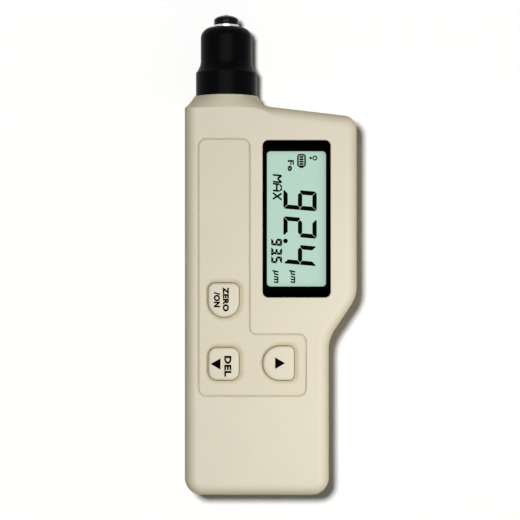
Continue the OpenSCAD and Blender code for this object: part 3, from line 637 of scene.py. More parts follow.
class GAUGE_OT_overlay(bpy.types.Operator):
    """Make the keypad overlay with its three openings, and a dark ring of painted shade in the gap round it
    """

    bl_idname = "gauge.overlay"
    bl_label = "Keypad Overlay"

    def execute(self, context):
        outline = stepped_corners(OVERLAY, STRIP_W, FOOT_H, OVERLAY_R)
        self.film(outline, *OVERLAY[:, 2])
        self.gap_shade(outline, OVERLAY[0, 2])
        return {"FINISHED"}

    def film(self, outline, low, high):
        """The film, with a pocket round each key."""
        s = sizes()
        shift = (mm(s.film_shift), mm(s.film_rise), 0.0)
        holes = [pocket(inset(key_corners(node), -KEY_GAP) + shift, low, high) for node in KEY_RADII]
        rims = [rim(outline, low, high, mm(s.overlay_round))] + holes
        film = moulded_plastic(
            "overlay_film", colours().overlay, grain_mm=0.22, depth_mm=0.006, roughness=0.5)
        # Painted shade: the film darkens as it sinks into the pocket round each key
        add_painted_shade(film, "Object", high * MM, (high - mm(s.pocket_depth)) * MM, RECESS_SHADE_TONE)
        add_solid("overlay_film", capped(rims, low, high), ROOT, [film], ["keypad_overlay"])

    def gap_shade(self, outline, low):
        """A thin dark ring in the gap round the film, as painted shade."""
        inner = rounded(inset(outline, -GAP_SHADE_SLACK))
        outer = rounded(inset(outline, GAP_SHADE_SLACK - OVERLAY_GAP))
        top = low + mm(sizes().gap_shade_thickness)
        section = ((inner, low), (outer, low), (outer, top), (inner, top), (inner, low))
        gap_shade = toned("gap_shade_line", colours().gap_shade, 0.6, size_mm=3.0, spread=0.08, specular=0.2)
        add_grain(gap_shade, size_mm=0.3, depth_mm=0.01)
        add_solid("gap_shade_line", band(stacked(section)), ROOT, [gap_shade])


# Keys

# Share of the ink's relief that lies under the crown
INK_SINK = 0.5
LETTER_SPACE = 1.1
WORD_DEPTH = 0.05


class KeyCap:
    """One key: stem, flange, wall, rounded edge and a crown that falls by crown ((dx/a)^2 + (dy/b)^2)."""

    def __init__(self, node):
        self.corners = key_corners(node)
        self.low, self.high = node_box(node)
        self.mid = (self.low + self.high)[:2] / 2
        self.half = (self.high - self.low)[:2] / 2 - KEY_FLANGE
        self.crown = mm(sizes().key_crown)

    def top(self, line):
        """Height of the crowned top over points in x and y."""
        share = (line - self.mid) / self.half
        return self.high[2] - mm(sizes().ink_relief) - self.crown * (share ** 2).sum(1)

    def surface(self):
        """Rings from the middle of the stem's foot out, up and in again to the middle of the top."""
        s = sizes()
        line = rounded(self.corners)
        spoke = line - self.mid
        stem = self.mid + KEY_STEM_D / 2 * spoke / np.linalg.norm(spoke, axis=1, keepdims=True)
        skirt = rounded(inset(self.corners, -KEY_FLANGE))
        wide = rounded(inset(self.corners, -mm(s.key_draft)))
        foot = self.low[2]
        flange_top = INNER_FACE - FLANGE_GAP
        flange = flange_top - KEY_FLANGE_T
        sunk = FACE_Z - mm(s.pocket_depth)
        section = [
            (np.broadcast_to(self.mid, line.shape), foot), (stem, foot), (stem, flange), (skirt, flange),
            (skirt, flange_top), (wide, flange_top), (wide, sunk - KEY_STEP), (line, sunk)]
        r = mm(s.key_round)
        for a in np.linspace(0, math.pi / 2, 8):
            edge = rounded(inset(self.corners, r * (1 - math.cos(a))))
            section.append((edge, self.top(edge) - r * (1 - math.sin(a))))
        for share in np.linspace(0.9, 0, 9):
            inner = self.mid + share * (edge - self.mid)
            section.append((inner, self.top(inner)))
        return band(stacked(section))


def text_outline(text, bold):
    """Points and faces of a word as a thin solid, read along x with its feet on y = 0."""
    curve = bpy.data.curves.new("word", "FONT")
    curve.body = text
    curve.extrude = WORD_DEPTH
    curve.offset = bold
    curve.space_character = LETTER_SPACE
    curve.resolution_u = 6
    holder = placed("word", curve)
    bpy.context.view_layer.update()
    mesh = bpy.data.meshes.new_from_object(holder.evaluated_get(bpy.context.evaluated_depsgraph_get()))
    points = np.empty(len(mesh.vertices) * 3)
    mesh.vertices.foreach_get("co", points)
    faces = [list(p.vertices) for p in mesh.polygons]
    bpy.data.objects.remove(holder)
    bpy.data.curves.remove(curve)
    bpy.data.meshes.remove(mesh)
    return points.reshape(-1, 3), faces


def word(text, centre, along, tall, bold=0.05, lean=0.0):
    """A word that reads towards -Y with its letters' tops towards +X, stretched to along by tall about
    a centre and leaning by lean of its height. Its third coordinate is 0 at its foot and 1 at its face."""
    points, faces = text_outline(text, bold)
    low, high = points.min(0), points.max(0)
    share = (points - low) / (high - low)
    x = centre[0] + (share[:, 1] - 0.5) * tall
    y = centre[1] - (share[:, 0] - 0.5) * along - lean * (share[:, 1] - 0.5) * tall
    return np.column_stack([x, y, share[:, 2]]), faces


def arrow(centre_y, base_x, apex_x, half):
    """A solid triangle that points along X, as a word's rows."""
    x = np.tile([base_x, base_x, apex_x], 2)
    y = np.tile([centre_y - half, centre_y + half, centre_y], 2)
    z = np.repeat([0.0, 1.0], 3)
    faces = [[0, 2, 1], [3, 4, 5], [0, 1, 4, 3], [1, 2, 5, 4], [2, 0, 3, 5]]
    return np.column_stack([x, y, z]), faces


def legends():
    """Each key's legends, placed from its middle."""
    return {
        "zero_on_key": [
            word("ZERO", (0.77, 0.33), along=8.26, tall=2.05, bold=0.06),
            word("/ON", (-2.24, 0.22), along=5.23, tall=2.1, bold=0.06)],
        "delete_key": [
            word("DEL", (1.45, -0.74), along=6.98, tall=2.36),
            arrow(0.0, base_x=-1.01, apex_x=-4.35, half=1.92)],
        "up_key": [arrow(0.06, base_x=-1.16, apex_x=2.22, half=1.97)],
    }


class GAUGE_OT_keys(bpy.types.Operator):
    """Make the three keys and their printed legends"""

    bl_idname = "gauge.keys"
    bl_label = "Keys"

    def execute(self, context):
        cap = moulded_plastic("key_plastic", colours().key, grain_mm=0.25, depth_mm=0.005, roughness=0.45)
        ink = finish("legend_ink", colours().ink, 0.5, specular=0.0)
        add_grain(ink, size_mm=0.15, depth_mm=0.003)
        relief = mm(sizes().ink_relief)
        for node, marks in legends().items():
            key = KeyCap(node)
            add_solid(node + "_cap", key.surface(), node, [cap], [node])
            points, faces = joined(marks)
            line = points[:, :2] + key.mid
            z = key.top(line) + ((1 + INK_SINK) * points[:, 2] - INK_SINK) * relief
            add_solid(node + "_legend", (at_height(line, z), faces), node, [ink])
        return {"FINISHED"}


# Display marks, in reading axes: u along a word and v up its letters

# The clear view inside the printed border
VIEW_SIZE = (20.0, 45.8)
VIEW_R = 1.2
DIGITS = {"9": "abcdfg", "2": "abdeg", "4": "bcfg", "3": "abcdg", "5": "acdfg"}
LETTER_STROKES = {
    "M": [(0, 0, 0, 1), (1, 0, 1, 1), (0, 1, 0.5, 0.5), (1, 1, 0.5, 0.5)],
    "A": [(0, 0, 0, 0.8), (1, 0, 1, 0.8), (0, 0.8, 0.5, 1), (1, 0.8, 0.5, 1), (0, 0.45, 1, 0.45)],
    "X": [(0, 0, 1, 1), (0, 1, 1, 0)],
}
# Shares of a segment's stroke: the gap at its mitres and the cut at the digit's corners
SEGMENT_GAP = 0.06
SEGMENT_NIP = 0.3
STROKE_GAP = 0.01
# Places in x and y from the window's middle
LARGE_PLACE = (-4.4, 10.25)
LARGE_PITCH = 9.3
LARGE_POINT = (-3.7, -7.45)
SMALL_PLACE = (-8.55, -6.5)
SMALL_PITCH = 3.0
SMALL_POINT = (-8.25, -11.95)
WORD_PLACE = (-8.1, 15.0)
BATTERY_PLACE = (0.55, 21.8)
BATTERY_BARS = (0.75, 1.55, 2.35, 3.15)
LAMP_PLACE = (5.6, 21.3)
# The base metal's sign and the units: text, middle, length, boldness and lean
UNITS = (
    ("Fe", (-1.9, 18.15), 3.7, 0.03, 0.0),
    ("µm", (-1.4, -19.6), 4.2, 0.035, 0.2),
    ("µm", (-7.1, -19.6), 4.2, 0.035, 0.2),
)
UNIT_H = 2.1


def segments(wide, tall, stroke):
    """Six corners of each bar of a digit: bars meet at mitres with a fine gap, and the digit's corners
    are nipped off. They are one low, one upright and one middle bar with their mirror images."""
    gap, nip, mid = SEGMENT_GAP * stroke, SEGMENT_NIP * stroke, tall / 2
    low = np.array([
        (nip + gap, 0), (wide - nip - gap, 0), (wide - nip / 2 - gap, nip / 2),
        (wide - stroke - gap, stroke), (stroke + gap, stroke), (nip / 2 + gap, nip / 2)])
    upright = np.array([
        (0, mid - gap), (0, nip + gap), (nip / 2, nip / 2 + gap),
        (stroke, stroke + gap), (stroke, mid - stroke / 2 - gap), (stroke / 2, mid - gap)])
    half = stroke / 2
    end = half + gap
    middle = np.array([
        (end, mid), (end + half, mid - half), (wide - end - half, mid - half),
        (wide - end, mid), (wide - end - half, mid + half), (end + half, mid + half)])
    return {
        "d": low, "a": low * (1, -1) + (0, tall), "g": middle,
        "e": upright, "f": upright * (1, -1) + (0, tall),
        "c": upright * (-1, 1) + (wide, 0), "b": upright * (-1, -1) + (wide, tall)}


def prisms(rings):
    """Solids over flat rings with equally many corners, from 0 at their feet to 1 at their faces."""
    rings = np.array(rings, float)
    count, n = rings.shape[:2]
    foot = np.concatenate([rings, np.zeros((count, n, 1))], 2)
    face = foot + (0.0, 0.0, 1.0)
    base = 2 * n * np.arange(count)[:, None]
    i = np.arange(n)
    k = (i + 1) % n
    sides = (base[:, :, None] + np.stack([i, k, k + n, i + n], -1)).reshape(-1, 4).tolist()
    caps = (base + i[::-1]).tolist() + (base + n + i).tolist()
    return np.concatenate([foot, face], 1).reshape(-1, 3), sides + caps


def strokes(lines, width):
    """Bars with pointed ends along lines u0, v0, u1, v1, a hair short of them: their corners are start,
    start + w (t - n), end - w (t + n), end and the same on the other side, with w half the width."""
    lines = np.array(lines, float)
    start, end = lines[:, :2], lines[:, 2:]
    t = (end - start) / np.linalg.norm(end - start, axis=1, keepdims=True)
    start = start + STROKE_GAP * t
    end = end - STROKE_GAP * t
    n = left_of(t)
    w = width / 2
    return prisms(np.stack(
        [start, start + w * (t - n), end - w * (t + n), end, end + w * (n - t), start + w * (t + n)], 1))


def display_place(points, corner, slant=0.0):
    """From reading axes u, v to the display: v runs along +X, and u along -Y and leans with v."""
    x = WINDOW_MID[0] + corner[0] + points[:, 1]
    y = WINDOW_MID[1] + corner[1] - points[:, 0] - math.tan(slant) * points[:, 1]
    return np.column_stack([x, y, points[:, 2]])


def number(text, corner, wide, tall, stroke, pitch):
    """Seven-segment digits in a row."""
    bars = segments(wide, tall, stroke)
    rings = [bars[bar] + (place * pitch, 0) for place, digit in enumerate(text) for bar in DIGITS[digit]]
    points, faces = prisms(rings)
    return display_place(points, corner, sizes().digit_slant), faces


def letters(text, corner, wide, tall, stroke, pitch):
    """Letters of plain strokes in a row."""
    lines = [np.array(LETTER_STROKES[letter]) * (wide, tall, wide, tall) for letter in text]
    rows = [strokes(line + (place * pitch, 0, place * pitch, 0), stroke) for place, line in enumerate(lines)]
    points, faces = joined(rows)
    return display_place(points, corner, sizes().digit_slant), faces


def drawn(lines, corner, stroke):
    """Plain strokes in millimetres from a corner, without a lean."""
    points, faces = strokes(lines, stroke)
    return display_place(points, corner), faces


def dot(corner, across):
    """A round decimal point about a corner."""
    points, faces = prisms([across / 2 * unit_circle(16)])
    return display_place(points, corner), faces


def box_lines(u0, v0, u1, v1):
    return [(u0, v0, u1, v0), (u1, v0, u1, v1), (u1, v1, u0, v1), (u0, v1, u0, v0)]


def display_marks():
    """Every dark mark on the display, in x and y, with 0 and 1 for its foot and its face."""
    s = sizes()
    large = (mm(s.digit_width), mm(s.digit_height), mm(s.digit_stroke))
    marks = [
        number("924", LARGE_PLACE, *large, LARGE_PITCH),
        dot(LARGE_POINT, across=1.6),
        number("935", SMALL_PLACE, wide=2.4, tall=3.7, stroke=0.78, pitch=SMALL_PITCH),
        dot(SMALL_POINT, across=0.85),
        letters("MAX", WORD_PLACE, wide=2.3, tall=3.2, stroke=0.6, pitch=SMALL_PITCH),
        # Battery sign: outline, bars and pole
        drawn(box_lines(0, 0, 3.9, 2.4), BATTERY_PLACE, stroke=0.55),
        drawn([(u, 0.35, u, 2.05) for u in BATTERY_BARS], BATTERY_PLACE, stroke=0.62),
        drawn([(4.2, 0.5, 4.2, 1.9)], BATTERY_PLACE, stroke=0.6),
        # Lamp sign: bulb and stem
        drawn(box_lines(0, 0.1, 1.2, 1.3), LAMP_PLACE, stroke=0.4),
        drawn([(0.6, -1.3, 0.6, -0.15)], LAMP_PLACE, stroke=0.95),
    ]
    for text, middle, along, bold, lean in UNITS:
        marks.append(word(text, WINDOW_MID + middle, along, UNIT_H, bold, lean))
    return joined(marks)


class GAUGE_OT_display(bpy.types.Operator):
    """Make the window, its printed border and the display's dark marks"""

    bl_idname = "gauge.display"
    bl_label = "Display"

    def execute(self, context):
        low, high = WINDOW
        plate_z = high[2] - mm(sizes().lens_plate)
        corners = box_corners(low, high, WINDOW_R)
        plate = rim(corners, plate_z, high[2], mm(sizes().lens_round))
        lens = capped([plate], plate_z, high[2])
        add_solid("window_lens", lens, ROOT, [clear_lens()], ["display_window"])
        half = np.array(VIEW_SIZE) / 2
        view = box_corners(WINDOW_MID - half, WINDOW_MID + half, VIEW_R)
        loops = [rounded(corners), rounded(view)]
        walls = [stacked((loop, z) for z in (low[2], plate_z)) for loop in loops]
        border = capped(walls, low[2], plate_z)
        add_solid("window_border", border, ROOT, [border_ink()])
        ink = toned("segment_ink", colours().mark, 0.5, size_mm=2.0, spread=0.15, specular=0.0)
        points, faces = display_marks()
        points = points * (1.0, 1.0, mm(sizes().mark_depth)) + (0.0, 0.0, GLASS[1, 2])
        add_solid("display_marks", (points, faces), ROOT, [ink])
        return {"FINISHED"}


# Probe: turned profiles, as radius and y

BARREL_R = 10.5
BARREL_LEN = 8.2
FLARE_LEN = 4.2
NOSE_R = 8.85
NOSE_WALL = 5.0
SHOULDER_R = 3.8
LIP_R = 0.25
TAIL_R = 8.5
TAIL_LEN = 6.0
BORE_R = 7.0
FLANGE_T = 2.1
SLIDE_GAP = 0.1
TIP_R = 4.3
TIP_FLANGE_T = 2.9
CUP_WALL = 0.6
DOME_RISE = 1.7
DOME_ANGLE = 70
PIN_GAP = 0.05
# Height of the pin's nose as a share of its radius
PIN_NOSE = 0.8
# Where the tip's bright ring ends: the ring of plated metal at its foot is a painted highlight
HIGHLIGHT_RING_Y = SLEEVE[1, 1] + 0.8


def half_height(box):
    return (box[1, 2] - box[0, 2]) / 2


def sleeve_profile():
    """Tail, flange, barrel, hollow flare r = nose + (barrel - nose) (1 - t)^2, nose and round shoulder."""
    low, high = SLEEVE[:, 1]
    flange_r = half_height(SLEEVE)
    flange_y = low + TAIL_LEN
    hole = TIP_R + SLIDE_GAP
    stop_y = high - NOSE_WALL
    t = np.linspace(0, 1, 15)
    return np.concatenate([
        [(BORE_R, low), (TAIL_R, low), (TAIL_R, flange_y), (flange_r, flange_y)],
        [(flange_r, flange_y + FLANGE_T), (BARREL_R, flange_y + FLANGE_T)],
        np.column_stack([NOSE_R + (BARREL_R - NOSE_R) * (1 - t) ** 2, RIM_Y + BARREL_LEN + FLARE_LEN * t]),
        arc((NOSE_R - SHOULDER_R, high - SHOULDER_R), SHOULDER_R, 0, 90, 16),
        arc((hole + LIP_R, high - LIP_R), LIP_R, 90, 180, 4),
        [(hole, stop_y), (BORE_R, stop_y), (BORE_R, low)]])


def tip_profile():
    """A cup: flange in the sleeve, barrel, dome r cos a with a rise, hole for the pole, and its hollow."""
    low, high = TIP[:, 1]
    flange_r = half_height(TIP)
    dome_y = high - DOME_RISE
    a = np.radians(np.linspace(0, DOME_ANGLE, 18))
    dome = np.column_stack([TIP_R * np.cos(a), dome_y + DOME_RISE * np.sin(a) / np.sin(a[-1])])
    hole = half_height(PIN) + PIN_GAP
    inside = TIP_R - CUP_WALL
    floor_y = dome_y - CUP_WALL
    return np.concatenate([
        [(inside, low), (flange_r, low), (flange_r, low + TIP_FLANGE_T), (TIP_R, low + TIP_FLANGE_T)],
        [(TIP_R, HIGHLIGHT_RING_Y)],
        dome[dome[:, 0] > hole],
        [(hole, high), (hole, floor_y), (inside, floor_y), (inside, low)]])


def pin_profile():
    """A rod with an elliptic nose, closed on its axis at both ends."""
    low, high = PIN[:, 1]
    r = half_height(PIN)
    a = np.linspace(0, math.pi / 2, 10)
    nose = np.column_stack([r * np.cos(a), high - PIN_NOSE * r * (1 - np.sin(a))])
    return np.concatenate([[(0, low), (r, low)], nose])


class GAUGE_OT_probe(bpy.types.Operator):
    """Make the probe's sleeve, its plated tip and the pole pin"""

    bl_idname = "gauge.probe"
    bl_label = "Probe"

    def execute(self, context):
        axis = (AXIS_X, AXIS_Z)
        black = finish("sleeve_plastic", colours().sleeve, 0.3, specular=0.03)
        add_grain(black, size_mm=0.6, depth_mm=0.002)
        add_sheen_change(black, size_mm=2.5, low=0.26, high=0.36)
        sleeve = band(turned(sleeve_profile(), axis))
        add_solid("sleeve", sleeve, ROOT, [black], ["probe_sleeve"])
        tip = closed_mesh("tip_cup", *band(turned(tip_profile(), axis)))
        # The tip is one polished metal in two painted tones: the bright ring at its foot is a painted
        # highlight, and the dome above it is nearly black as a painted dark reflection
        paint(tip, lambda spots: spots[:, 1] > HIGHLIGHT_RING_Y)
        dark_reflection = metal("dark_reflection_metal", colours().dome, 0.17)
        add_piece(tip, "probe_plunger", [plated_metal(), dark_reflection], ["probe_tip"])
        pole = metal("pole_metal", colours().pole, 0.3)
        pin = band(turned(pin_profile(), axis))
        add_solid("pole_rod", pin, "probe_plunger", [pole], ["pole_pin"])
        return {"FINISHED"}


# Springs: the mat's sheet and domes, and the probe's coil

MAT_STRIP_W = 11.6
MAT_FOOT_H = 12.8
MAT_R = 1.0
MAT_T = 1.0
MAT_FOOT_Z = BOARD[1, 2] + MAT_T
MAT_WHITE = (0.58, 0.56, 0.5)
DOME_FOOT_R = 4.0
DOME_SLACK = 0.02
SPRING_R = 4.75
SPRING_WIRE = 0.8
SPRING_TURNS = 8
KEY_JOINTS = {"zero_on_key": "zero_on_press", "delete_key": "delete_press", "up_key": "up_press"}


def dome_surface(node):
    """A rubber dome under a key: its radius is foot + (stem - foot) t^2 (3 - 2 t) as it climbs."""
    mid = node_box(node).mean(0)[:2]
    top_z = MAT[1, 2] - DOME_SLACK
    t = np.linspace(0, 1, 11)
    radii = DOME_FOOT_R + (KEY_STEM_D / 2 - DOME_FOOT_R) * t * t * (3 - 2 * t)
    radii = np.concatenate([[0.0], radii, [0.0]])
    heights = np.concatenate([[MAT_FOOT_Z], MAT_FOOT_Z + (top_z - MAT_FOOT_Z) * t, [top_z]])
    return band(stacked((mid + r * unit_circle(48), z) for r, z in zip(radii, heights)))


class GAUGE_OT_springs(bpy.types.Operator):
    """Make the parts that give way: the mat's sheet, its domes under the keys and the probe's spring"""

    bl_idname = "gauge.springs"
    bl_label = "Springs"

    def execute(self, context):
        silicone = moulded_plastic("mat_silicone", MAT_WHITE, grain_mm=0.4, depth_mm=0.006, roughness=0.6)
        corners = stepped_corners(MAT, MAT_STRIP_W, MAT_FOOT_H, MAT_R)
        outside = rim(corners, BOARD[1, 2], MAT_FOOT_Z, MAT_T / 4)
        sheet = capped([outside], BOARD[1, 2], MAT_FOOT_Z)
        add_solid("mat_sheet", sheet, ROOT, [silicone], ["dome_mat"])
        for node, joint in KEY_JOINTS.items():
            dome = add_solid(node + "_dome", dome_surface(node), ROOT, [silicone])
            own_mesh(dome)
        steel = metal("spring_steel", STEEL, 0.25)
        reach = SPRING[:, 1] + (SPRING_WIRE / 2, -SPRING_WIRE / 2)
        path = coil((AXIS_X, AXIS_Z), reach, (SPRING_R, SPRING_R), SPRING_TURNS, 32 * SPRING_TURNS + 1)
        wire = tube(path, SPRING_WIRE / 2)
        spring = add_solid("probe_coil", wire, ROOT, [steel], ["probe_spring"])
        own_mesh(spring)
        return {"FINISHED"}


# Cells: each node, and the way its nub points along Y

CELLS = {"left_cell": 1, "middle_cell": -1, "right_cell": 1}
NUB_R = 1.9
NUB_LEN = 0.8
NUB_ROUND = 0.2
NUB_FOOT = 0.3
# Rounding of the can's edges, width of the wrap on its ends and depth of the ends' dishes
CAN_ROUND = 0.25
WRAP_EDGE = 0.9
END_EDGE = 1.0
END_STEP = 0.2
END_DISH = 0.1
CONTACT_WIRE = 0.6
CONTACT_LEN = 4.4
CONTACT_R = (3.8, 2.2)
CONTACT_TURNS = 4
CONTACT_END = 0.35


def cell_mesh(node, up):
    """A round cell: bare flat ends, a wrap with rolled edges, and a nub on the end that up points to."""
    low, high = node_box(node)
    axis = (low + high)[[0, 2]] / 2
    r = (high[2] - low[2]) / 2
    top = high[1] - low[1]
    can = top - NUB_LEN
    edge = r - END_EDGE
    bend = r - CAN_ROUND
    profile = np.concatenate([
        [(0, END_DISH), (edge - END_STEP, END_DISH), (edge, END_DISH / 5)],
        arc((bend, CAN_ROUND), CAN_ROUND, -90, 0, 5),
        arc((bend, can - CAN_ROUND), CAN_ROUND, 0, 90, 5),
        [(edge, can - END_DISH / 2), (NUB_R + NUB_FOOT, can - END_DISH), (NUB_R, can)],
        [(NUB_R, top - NUB_ROUND), (NUB_R - NUB_ROUND, top), (0, top)]])
    y = low[1] + profile[:, 1] if up > 0 else high[1] - profile[:, 1]
    rings = turned(np.column_stack([profile[:, 0], y]), axis, 64)
    mesh = closed_mesh(node + "_body", *band(rings))
    # The wrap ends just inside the can's ends, and the rest is bare metal
    paint(mesh, lambda spots: np.linalg.norm(spots[:, [0, 2]] - axis, axis=1) < r - WRAP_EDGE)
    return mesh


def contact_path(node, up):
    """A cone-shaped coil behind a cell."""
    low, high = node_box(node)
    foot = low[1] - CONTACT_LEN if up > 0 else high[1] + CONTACT_LEN
    reach = (foot + up * CONTACT_END, foot + up * (CONTACT_LEN - CONTACT_END))
    return coil((low + high)[[0, 2]] / 2, reach, CONTACT_R, CONTACT_TURNS, 160)


class GAUGE_OT_cells(bpy.types.Operator):
    """Make the three cells and their contact springs"""

    bl_idname = "gauge.cells"
    bl_label = "Cells"

    def execute(self, context):
        wrap = toned("cell_wrap", colours().cell, 0.3, size_mm=4.0, spread=0.06)
        add_sheen_change(wrap, size_mm=2.0, low=0.25, high=0.4)
        for node, up in CELLS.items():
            add_piece(cell_mesh(node, up), ROOT, [wrap, plated_metal()], [node])
        coils = [tube(contact_path(node, up), CONTACT_WIRE / 2) for node, up in CELLS.items()]
        add_solid("contact_coils", joined(coils), ROOT, [plated_metal()], ["contact_springs"])
        return {"FINISHED"}


# CAD nodes that keep their own shape

def inner_finishes():
    """Pairs of a material and the CAD nodes that take it."""
    white = moulded_plastic("white_plastic", (0.8, 0.8, 0.75), grain_mm=0.3, depth_mm=0.005, roughness=0.4)
    chip = moulded_plastic("chip_resin", (0.012, 0.012, 0.013), grain_mm=0.12, depth_mm=0.006, roughness=0.5)
    dark = moulded_plastic("dark_plastic", (0.02, 0.02, 0.022), grain_mm=0.3, depth_mm=0.005, roughness=0.45)
    board = toned("solder_mask", (0.012, 0.14, 0.045), 0.35, size_mm=3.0, spread=0.25, stretch=(1, 6, 1))
    rubber = toned(
        "contact_rubber", (0.04, 0.04, 0.045), 0.6, size_mm=0.4, spread=0.6, stretch=(0.05, 4, 0.05))
    blue = toned("capacitor_sleeve", (0.02, 0.06, 0.25), 0.35, size_mm=2.0, spread=0.1)
    steel = metal("zinc_steel", STEEL, 0.3)
    copper = metal("copper_wire", (0.72, 0.32, 0.14), 0.3, grain_mm=0.2)
    return [
        (border_ink(), ["window_gasket"]),
        (lit_screen(colours().screen), ["lcd_glass"]),
        (board, ["main_board"]),
        (white, ["lcd_holder", "backlight_panel", "probe_socket", "coil_bobbin"]),
        (chip, ["microcontroller", "amplifier_chip", "buzzer"]),
        (rubber, ["zebra_strip"]),
        (blue, ["filter_capacitors"]),
        (copper, ["drive_coil", "sensing_coil"]),
        (steel, ["crystal", "board_screws", "housing_screws", "spring_seat"]),
        (plated_metal(), ["contact_plates"]),
        (dark, ["probe_carrier", "probe_cable"])]


class GAUGE_OT_inner_finishes(bpy.types.Operator):
    """Give the CAD nodes that stay visible or lie inside their finishes"""

    bl_idname = "gauge.inner_finishes"
    bl_label = "Inner Finishes"

    def execute(self, context):
        for material, nodes in inner_finishes():
            for node in nodes:
                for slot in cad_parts[node].material_slots:
                    slot.material = material
        return {"FINISHED"}


# Studio: the camera looks straight down on the gauge

CAMERA_PLACE = (-3.65, -2.33, 590.0)
FIELD_WIDTH = 179.87
FIELD_Z = 13.5
SENSOR = 36.0
CLIP_END_M = 100
FLOOR_HALF = 6000.0
FLOOR_Z = -0.02
PAPER_ROUGHNESS = 0.9
# Shares of a level white sheet's light, which come to 1 on the object and on the floor
KEY_SHARE = 0.51
SIDE_SHARE = 0.41
SKY_SHARE = 0.1
FLOOR_SHARE = KEY_SHARE + SIDE_SHARE
KEY_FROM = (0.0, 0.12, 1.0)
KEY_SPREAD = 50
SKY_LEAN = 0.5
SIDE_PLACE = (105.0, -48.0, 180.0)
SIDE_AIM = (0.0, -10.0, 27.0)
SIDE_SIZE = 160.0
FLOOR_LAMP_PLACE = (-70.0, 54.0, 590.0)
FLOOR_LAMP_R = 34.0
# What the floor throws back on the object, and the warm tint of that and of the sky's fill
FLOOR_BOUNCE = 0.25
FILL_TINT = (1.0, 0.97, 0.9)


def white_where_seen(tree, fill, white, end):
    """Rays from the camera, from gloss and through glass meet the white shader, and all others the fill."""
    path = add_node(tree, "LightPath")
    seen = path.outputs["Is Camera Ray"]
    for ray in ("Is Glossy Ray", "Is Transmission Ray"):
        either = add_node(tree, "Math", operation="MAXIMUM")
        tree.links.new(seen, either.inputs[0])
        link(tree, path, ray, either, 1)
        seen = either.outputs["Value"]
    mix = add_node(tree, "MixShader")
    tree.links.new(seen, mix.inputs["Fac"])
    link(tree, fill, 0, mix, 1)
    link(tree, white, 0, mix, 2)
    link(tree, mix, "Shader", tree.nodes[end], "Surface")


def hung(data, place=(0, 0, 0), away=None):
    """A lamp or the camera at a place, with its back towards away."""
    holder = placed(data.name, data)
    holder.location = Vector(place) * MM
    if away is not None:
        holder.rotation_euler = away.to_track_quat("Z", "Y").to_euler()
    return holder


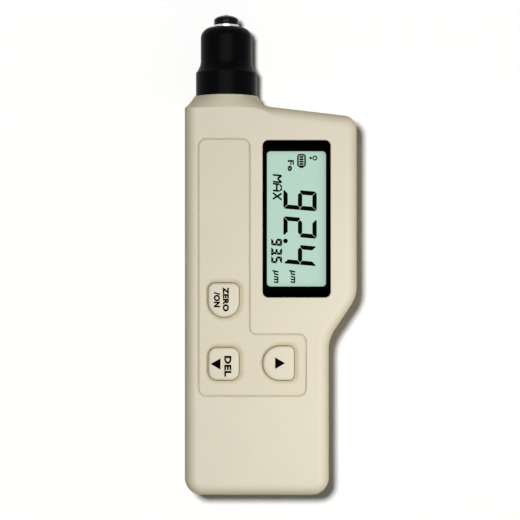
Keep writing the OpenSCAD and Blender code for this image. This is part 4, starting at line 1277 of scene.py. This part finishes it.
class GAUGE_OT_studio(bpy.types.Operator):
    """Make the floor, the light and the camera"""

    bl_idname = "gauge.studio"
    bl_label = "Studio"

    def execute(self, context):
        context.scene.view_settings.view_transform = "Standard"
        floor = self.floor()
        self.light_for(self.key_light(), floor, "EXCLUDE")
        self.light_for(self.side_lamp(), floor, "EXCLUDE")
        self.light_for(self.floor_lamp(), floor, "INCLUDE")
        self.sky()
        camera = bpy.data.cameras.new("front_camera")
        camera.sensor_width = SENSOR
        camera.lens = SENSOR * (CAMERA_PLACE[2] - FIELD_Z) / FIELD_WIDTH
        camera.clip_end = CLIP_END_M
        context.scene.camera = hung(camera, CAMERA_PLACE)
        return {"FINISHED"}

    def floor(self):
        """A wide flat square just under the back face."""
        side = np.array([-FLOOR_HALF, FLOOR_HALF])
        x, y = np.meshgrid(side, side)
        points = np.column_stack([x.ravel(), y.ravel(), np.full(4, FLOOR_Z)])
        mesh = bpy.data.meshes.new("floor")
        mesh.from_pydata((points * MM).tolist(), [], [[0, 1, 3, 2]])
        mesh.materials.append(self.paper())
        floor = placed("floor", mesh)
        return floor

    def paper(self):
        """White paper where it is seen, and grey for the light that it throws back."""
        material = finish("floor_paper", FLOOR_BOUNCE * np.array(FILL_TINT), PAPER_ROUGHNESS, specular=0.0)
        tree = material.node_tree
        white = add_node(tree, "BsdfPrincipled", {
            "Base Color": (*colours().floor, 1), "Roughness": PAPER_ROUGHNESS, "Specular IOR Level": 0.0})
        white_where_seen(tree, principled(material), white, "Material Output")
        return material

    def light_for(self, holder, floor, state):
        """Lets a lamp light only the floor, or all but the floor."""
        group = bpy.data.collections.new(holder.name + "_reach")
        group.objects.link(floor)
        holder.light_linking.receiver_collection = group
        group.collection_objects[0].light_linking.link_state = state

    def key_light(self):
        """A broad light from above: a level sheet gets KEY_SHARE of its light."""
        towards = Vector(KEY_FROM).normalized()
        lamp = bpy.data.lights.new("key_light", "SUN")
        lamp.energy = KEY_SHARE * math.pi / towards.z
        lamp.angle = math.radians(KEY_SPREAD)
        return hung(lamp, away=towards)

    def side_lamp(self):
        """A soft round lamp at the right, so that the face is lighter there. It gives the middle SIDE_SHARE
        of a level sheet's light: power pi^2 share d^2 / cos a at distance d and slant a."""
        away = (Vector(SIDE_PLACE) - Vector(SIDE_AIM)) * MM
        lamp = bpy.data.lights.new("side_light", "AREA")
        lamp.shape = "DISK"
        lamp.size = SIDE_SIZE * MM
        lamp.energy = SIDE_SHARE * math.pi ** 2 * away.length ** 3 / away.z
        return hung(lamp, SIDE_PLACE, away)

    def floor_lamp(self):
        """A soft lamp beside the camera that throws the shadow. Its strength grows with (d / h)^3 at
        distance d and height h, so that all the floor gets FLOOR_SHARE of a level sheet's light."""
        height = FLOOR_LAMP_PLACE[2] * MM
        lamp = bpy.data.lights.new("floor_light", "POINT")
        lamp.shadow_soft_size = FLOOR_LAMP_R * MM
        lamp.energy = FLOOR_SHARE * 4 * math.pi ** 2 * height ** 2
        lamp.use_nodes = True
        tree = lamp.node_tree
        path = add_node(tree, "LightPath")
        share = add_node(tree, "Math", {1: height}, operation="DIVIDE")
        cube = add_node(tree, "Math", {1: 3.0}, operation="POWER")
        link(tree, path, "Ray Length", share, 0)
        link(tree, share, "Value", cube, 0)
        link(tree, cube, "Value", tree.nodes["Emission"], "Strength")
        return hung(lamp, FLOOR_LAMP_PLACE)

    def sky(self):
        """Soft warm fill of SKY_SHARE (1 + SKY_LEAN x) by direction, and plain white where it is seen."""
        world = bpy.data.worlds.new("studio_sky")
        bpy.context.scene.world = world
        world.use_nodes = True
        tree = world.node_tree
        fill = tree.nodes["Background"]
        fill.inputs["Color"].default_value = (*FILL_TINT, 1)
        place = add_node(tree, "TexCoord")
        split = add_node(tree, "SeparateXYZ")
        lean = add_node(tree, "Math", {1: SKY_SHARE * SKY_LEAN, 2: SKY_SHARE}, operation="MULTIPLY_ADD")
        link(tree, place, "Generated", split, "Vector")
        link(tree, split, "X", lean, 0)
        link(tree, lean, "Value", fill, "Strength")
        white = add_node(tree, "Background", {"Color": (1, 1, 1, 1)})
        white_where_seen(tree, fill, white, "World Output")


OPERATORS = (GAUGE_OT_shells, GAUGE_OT_overlay, GAUGE_OT_keys, GAUGE_OT_display, GAUGE_OT_probe,
             GAUGE_OT_springs, GAUGE_OT_cells, GAUGE_OT_inner_finishes, GAUGE_OT_studio)


class GAUGE_PT_sidebar(bpy.types.Panel):
    """Lists the gauge's pieces, sizes and colours"""

    bl_idname = "GAUGE_PT_sidebar"
    bl_label = "Gauge"
    bl_space_type = "VIEW_3D"
    bl_region_type = "UI"
    bl_category = "Gauge"

    def draw(self, context):
        for operator in OPERATORS:
            self.layout.operator(operator.bl_idname)
        for group in (context.scene.gauge_sizes, context.scene.gauge_colours):
            box = self.layout.box()
            for name in group.__annotations__:
                box.prop(group, name)


CLASSES = (GaugeSizes, GaugeColours, *OPERATORS, GAUGE_PT_sidebar)


def register():
    for cls in CLASSES:
        bpy.utils.register_class(cls)
    bpy.types.Scene.gauge_sizes = bpy.props.PointerProperty(type=GaugeSizes)
    bpy.types.Scene.gauge_colours = bpy.props.PointerProperty(type=GaugeColours)


def unregister():
    del bpy.types.Scene.gauge_colours
    del bpy.types.Scene.gauge_sizes
    for cls in reversed(CLASSES):
        bpy.utils.unregister_class(cls)


def main():
    register()
    bpy.ops.gauge.shells()
    bpy.ops.gauge.overlay()
    bpy.ops.gauge.keys()
    bpy.ops.gauge.display()
    bpy.ops.gauge.probe()
    bpy.ops.gauge.springs()
    bpy.ops.gauge.cells()
    bpy.ops.gauge.inner_finishes()
    bpy.ops.gauge.studio()


if __name__ == "__main__":
    main()
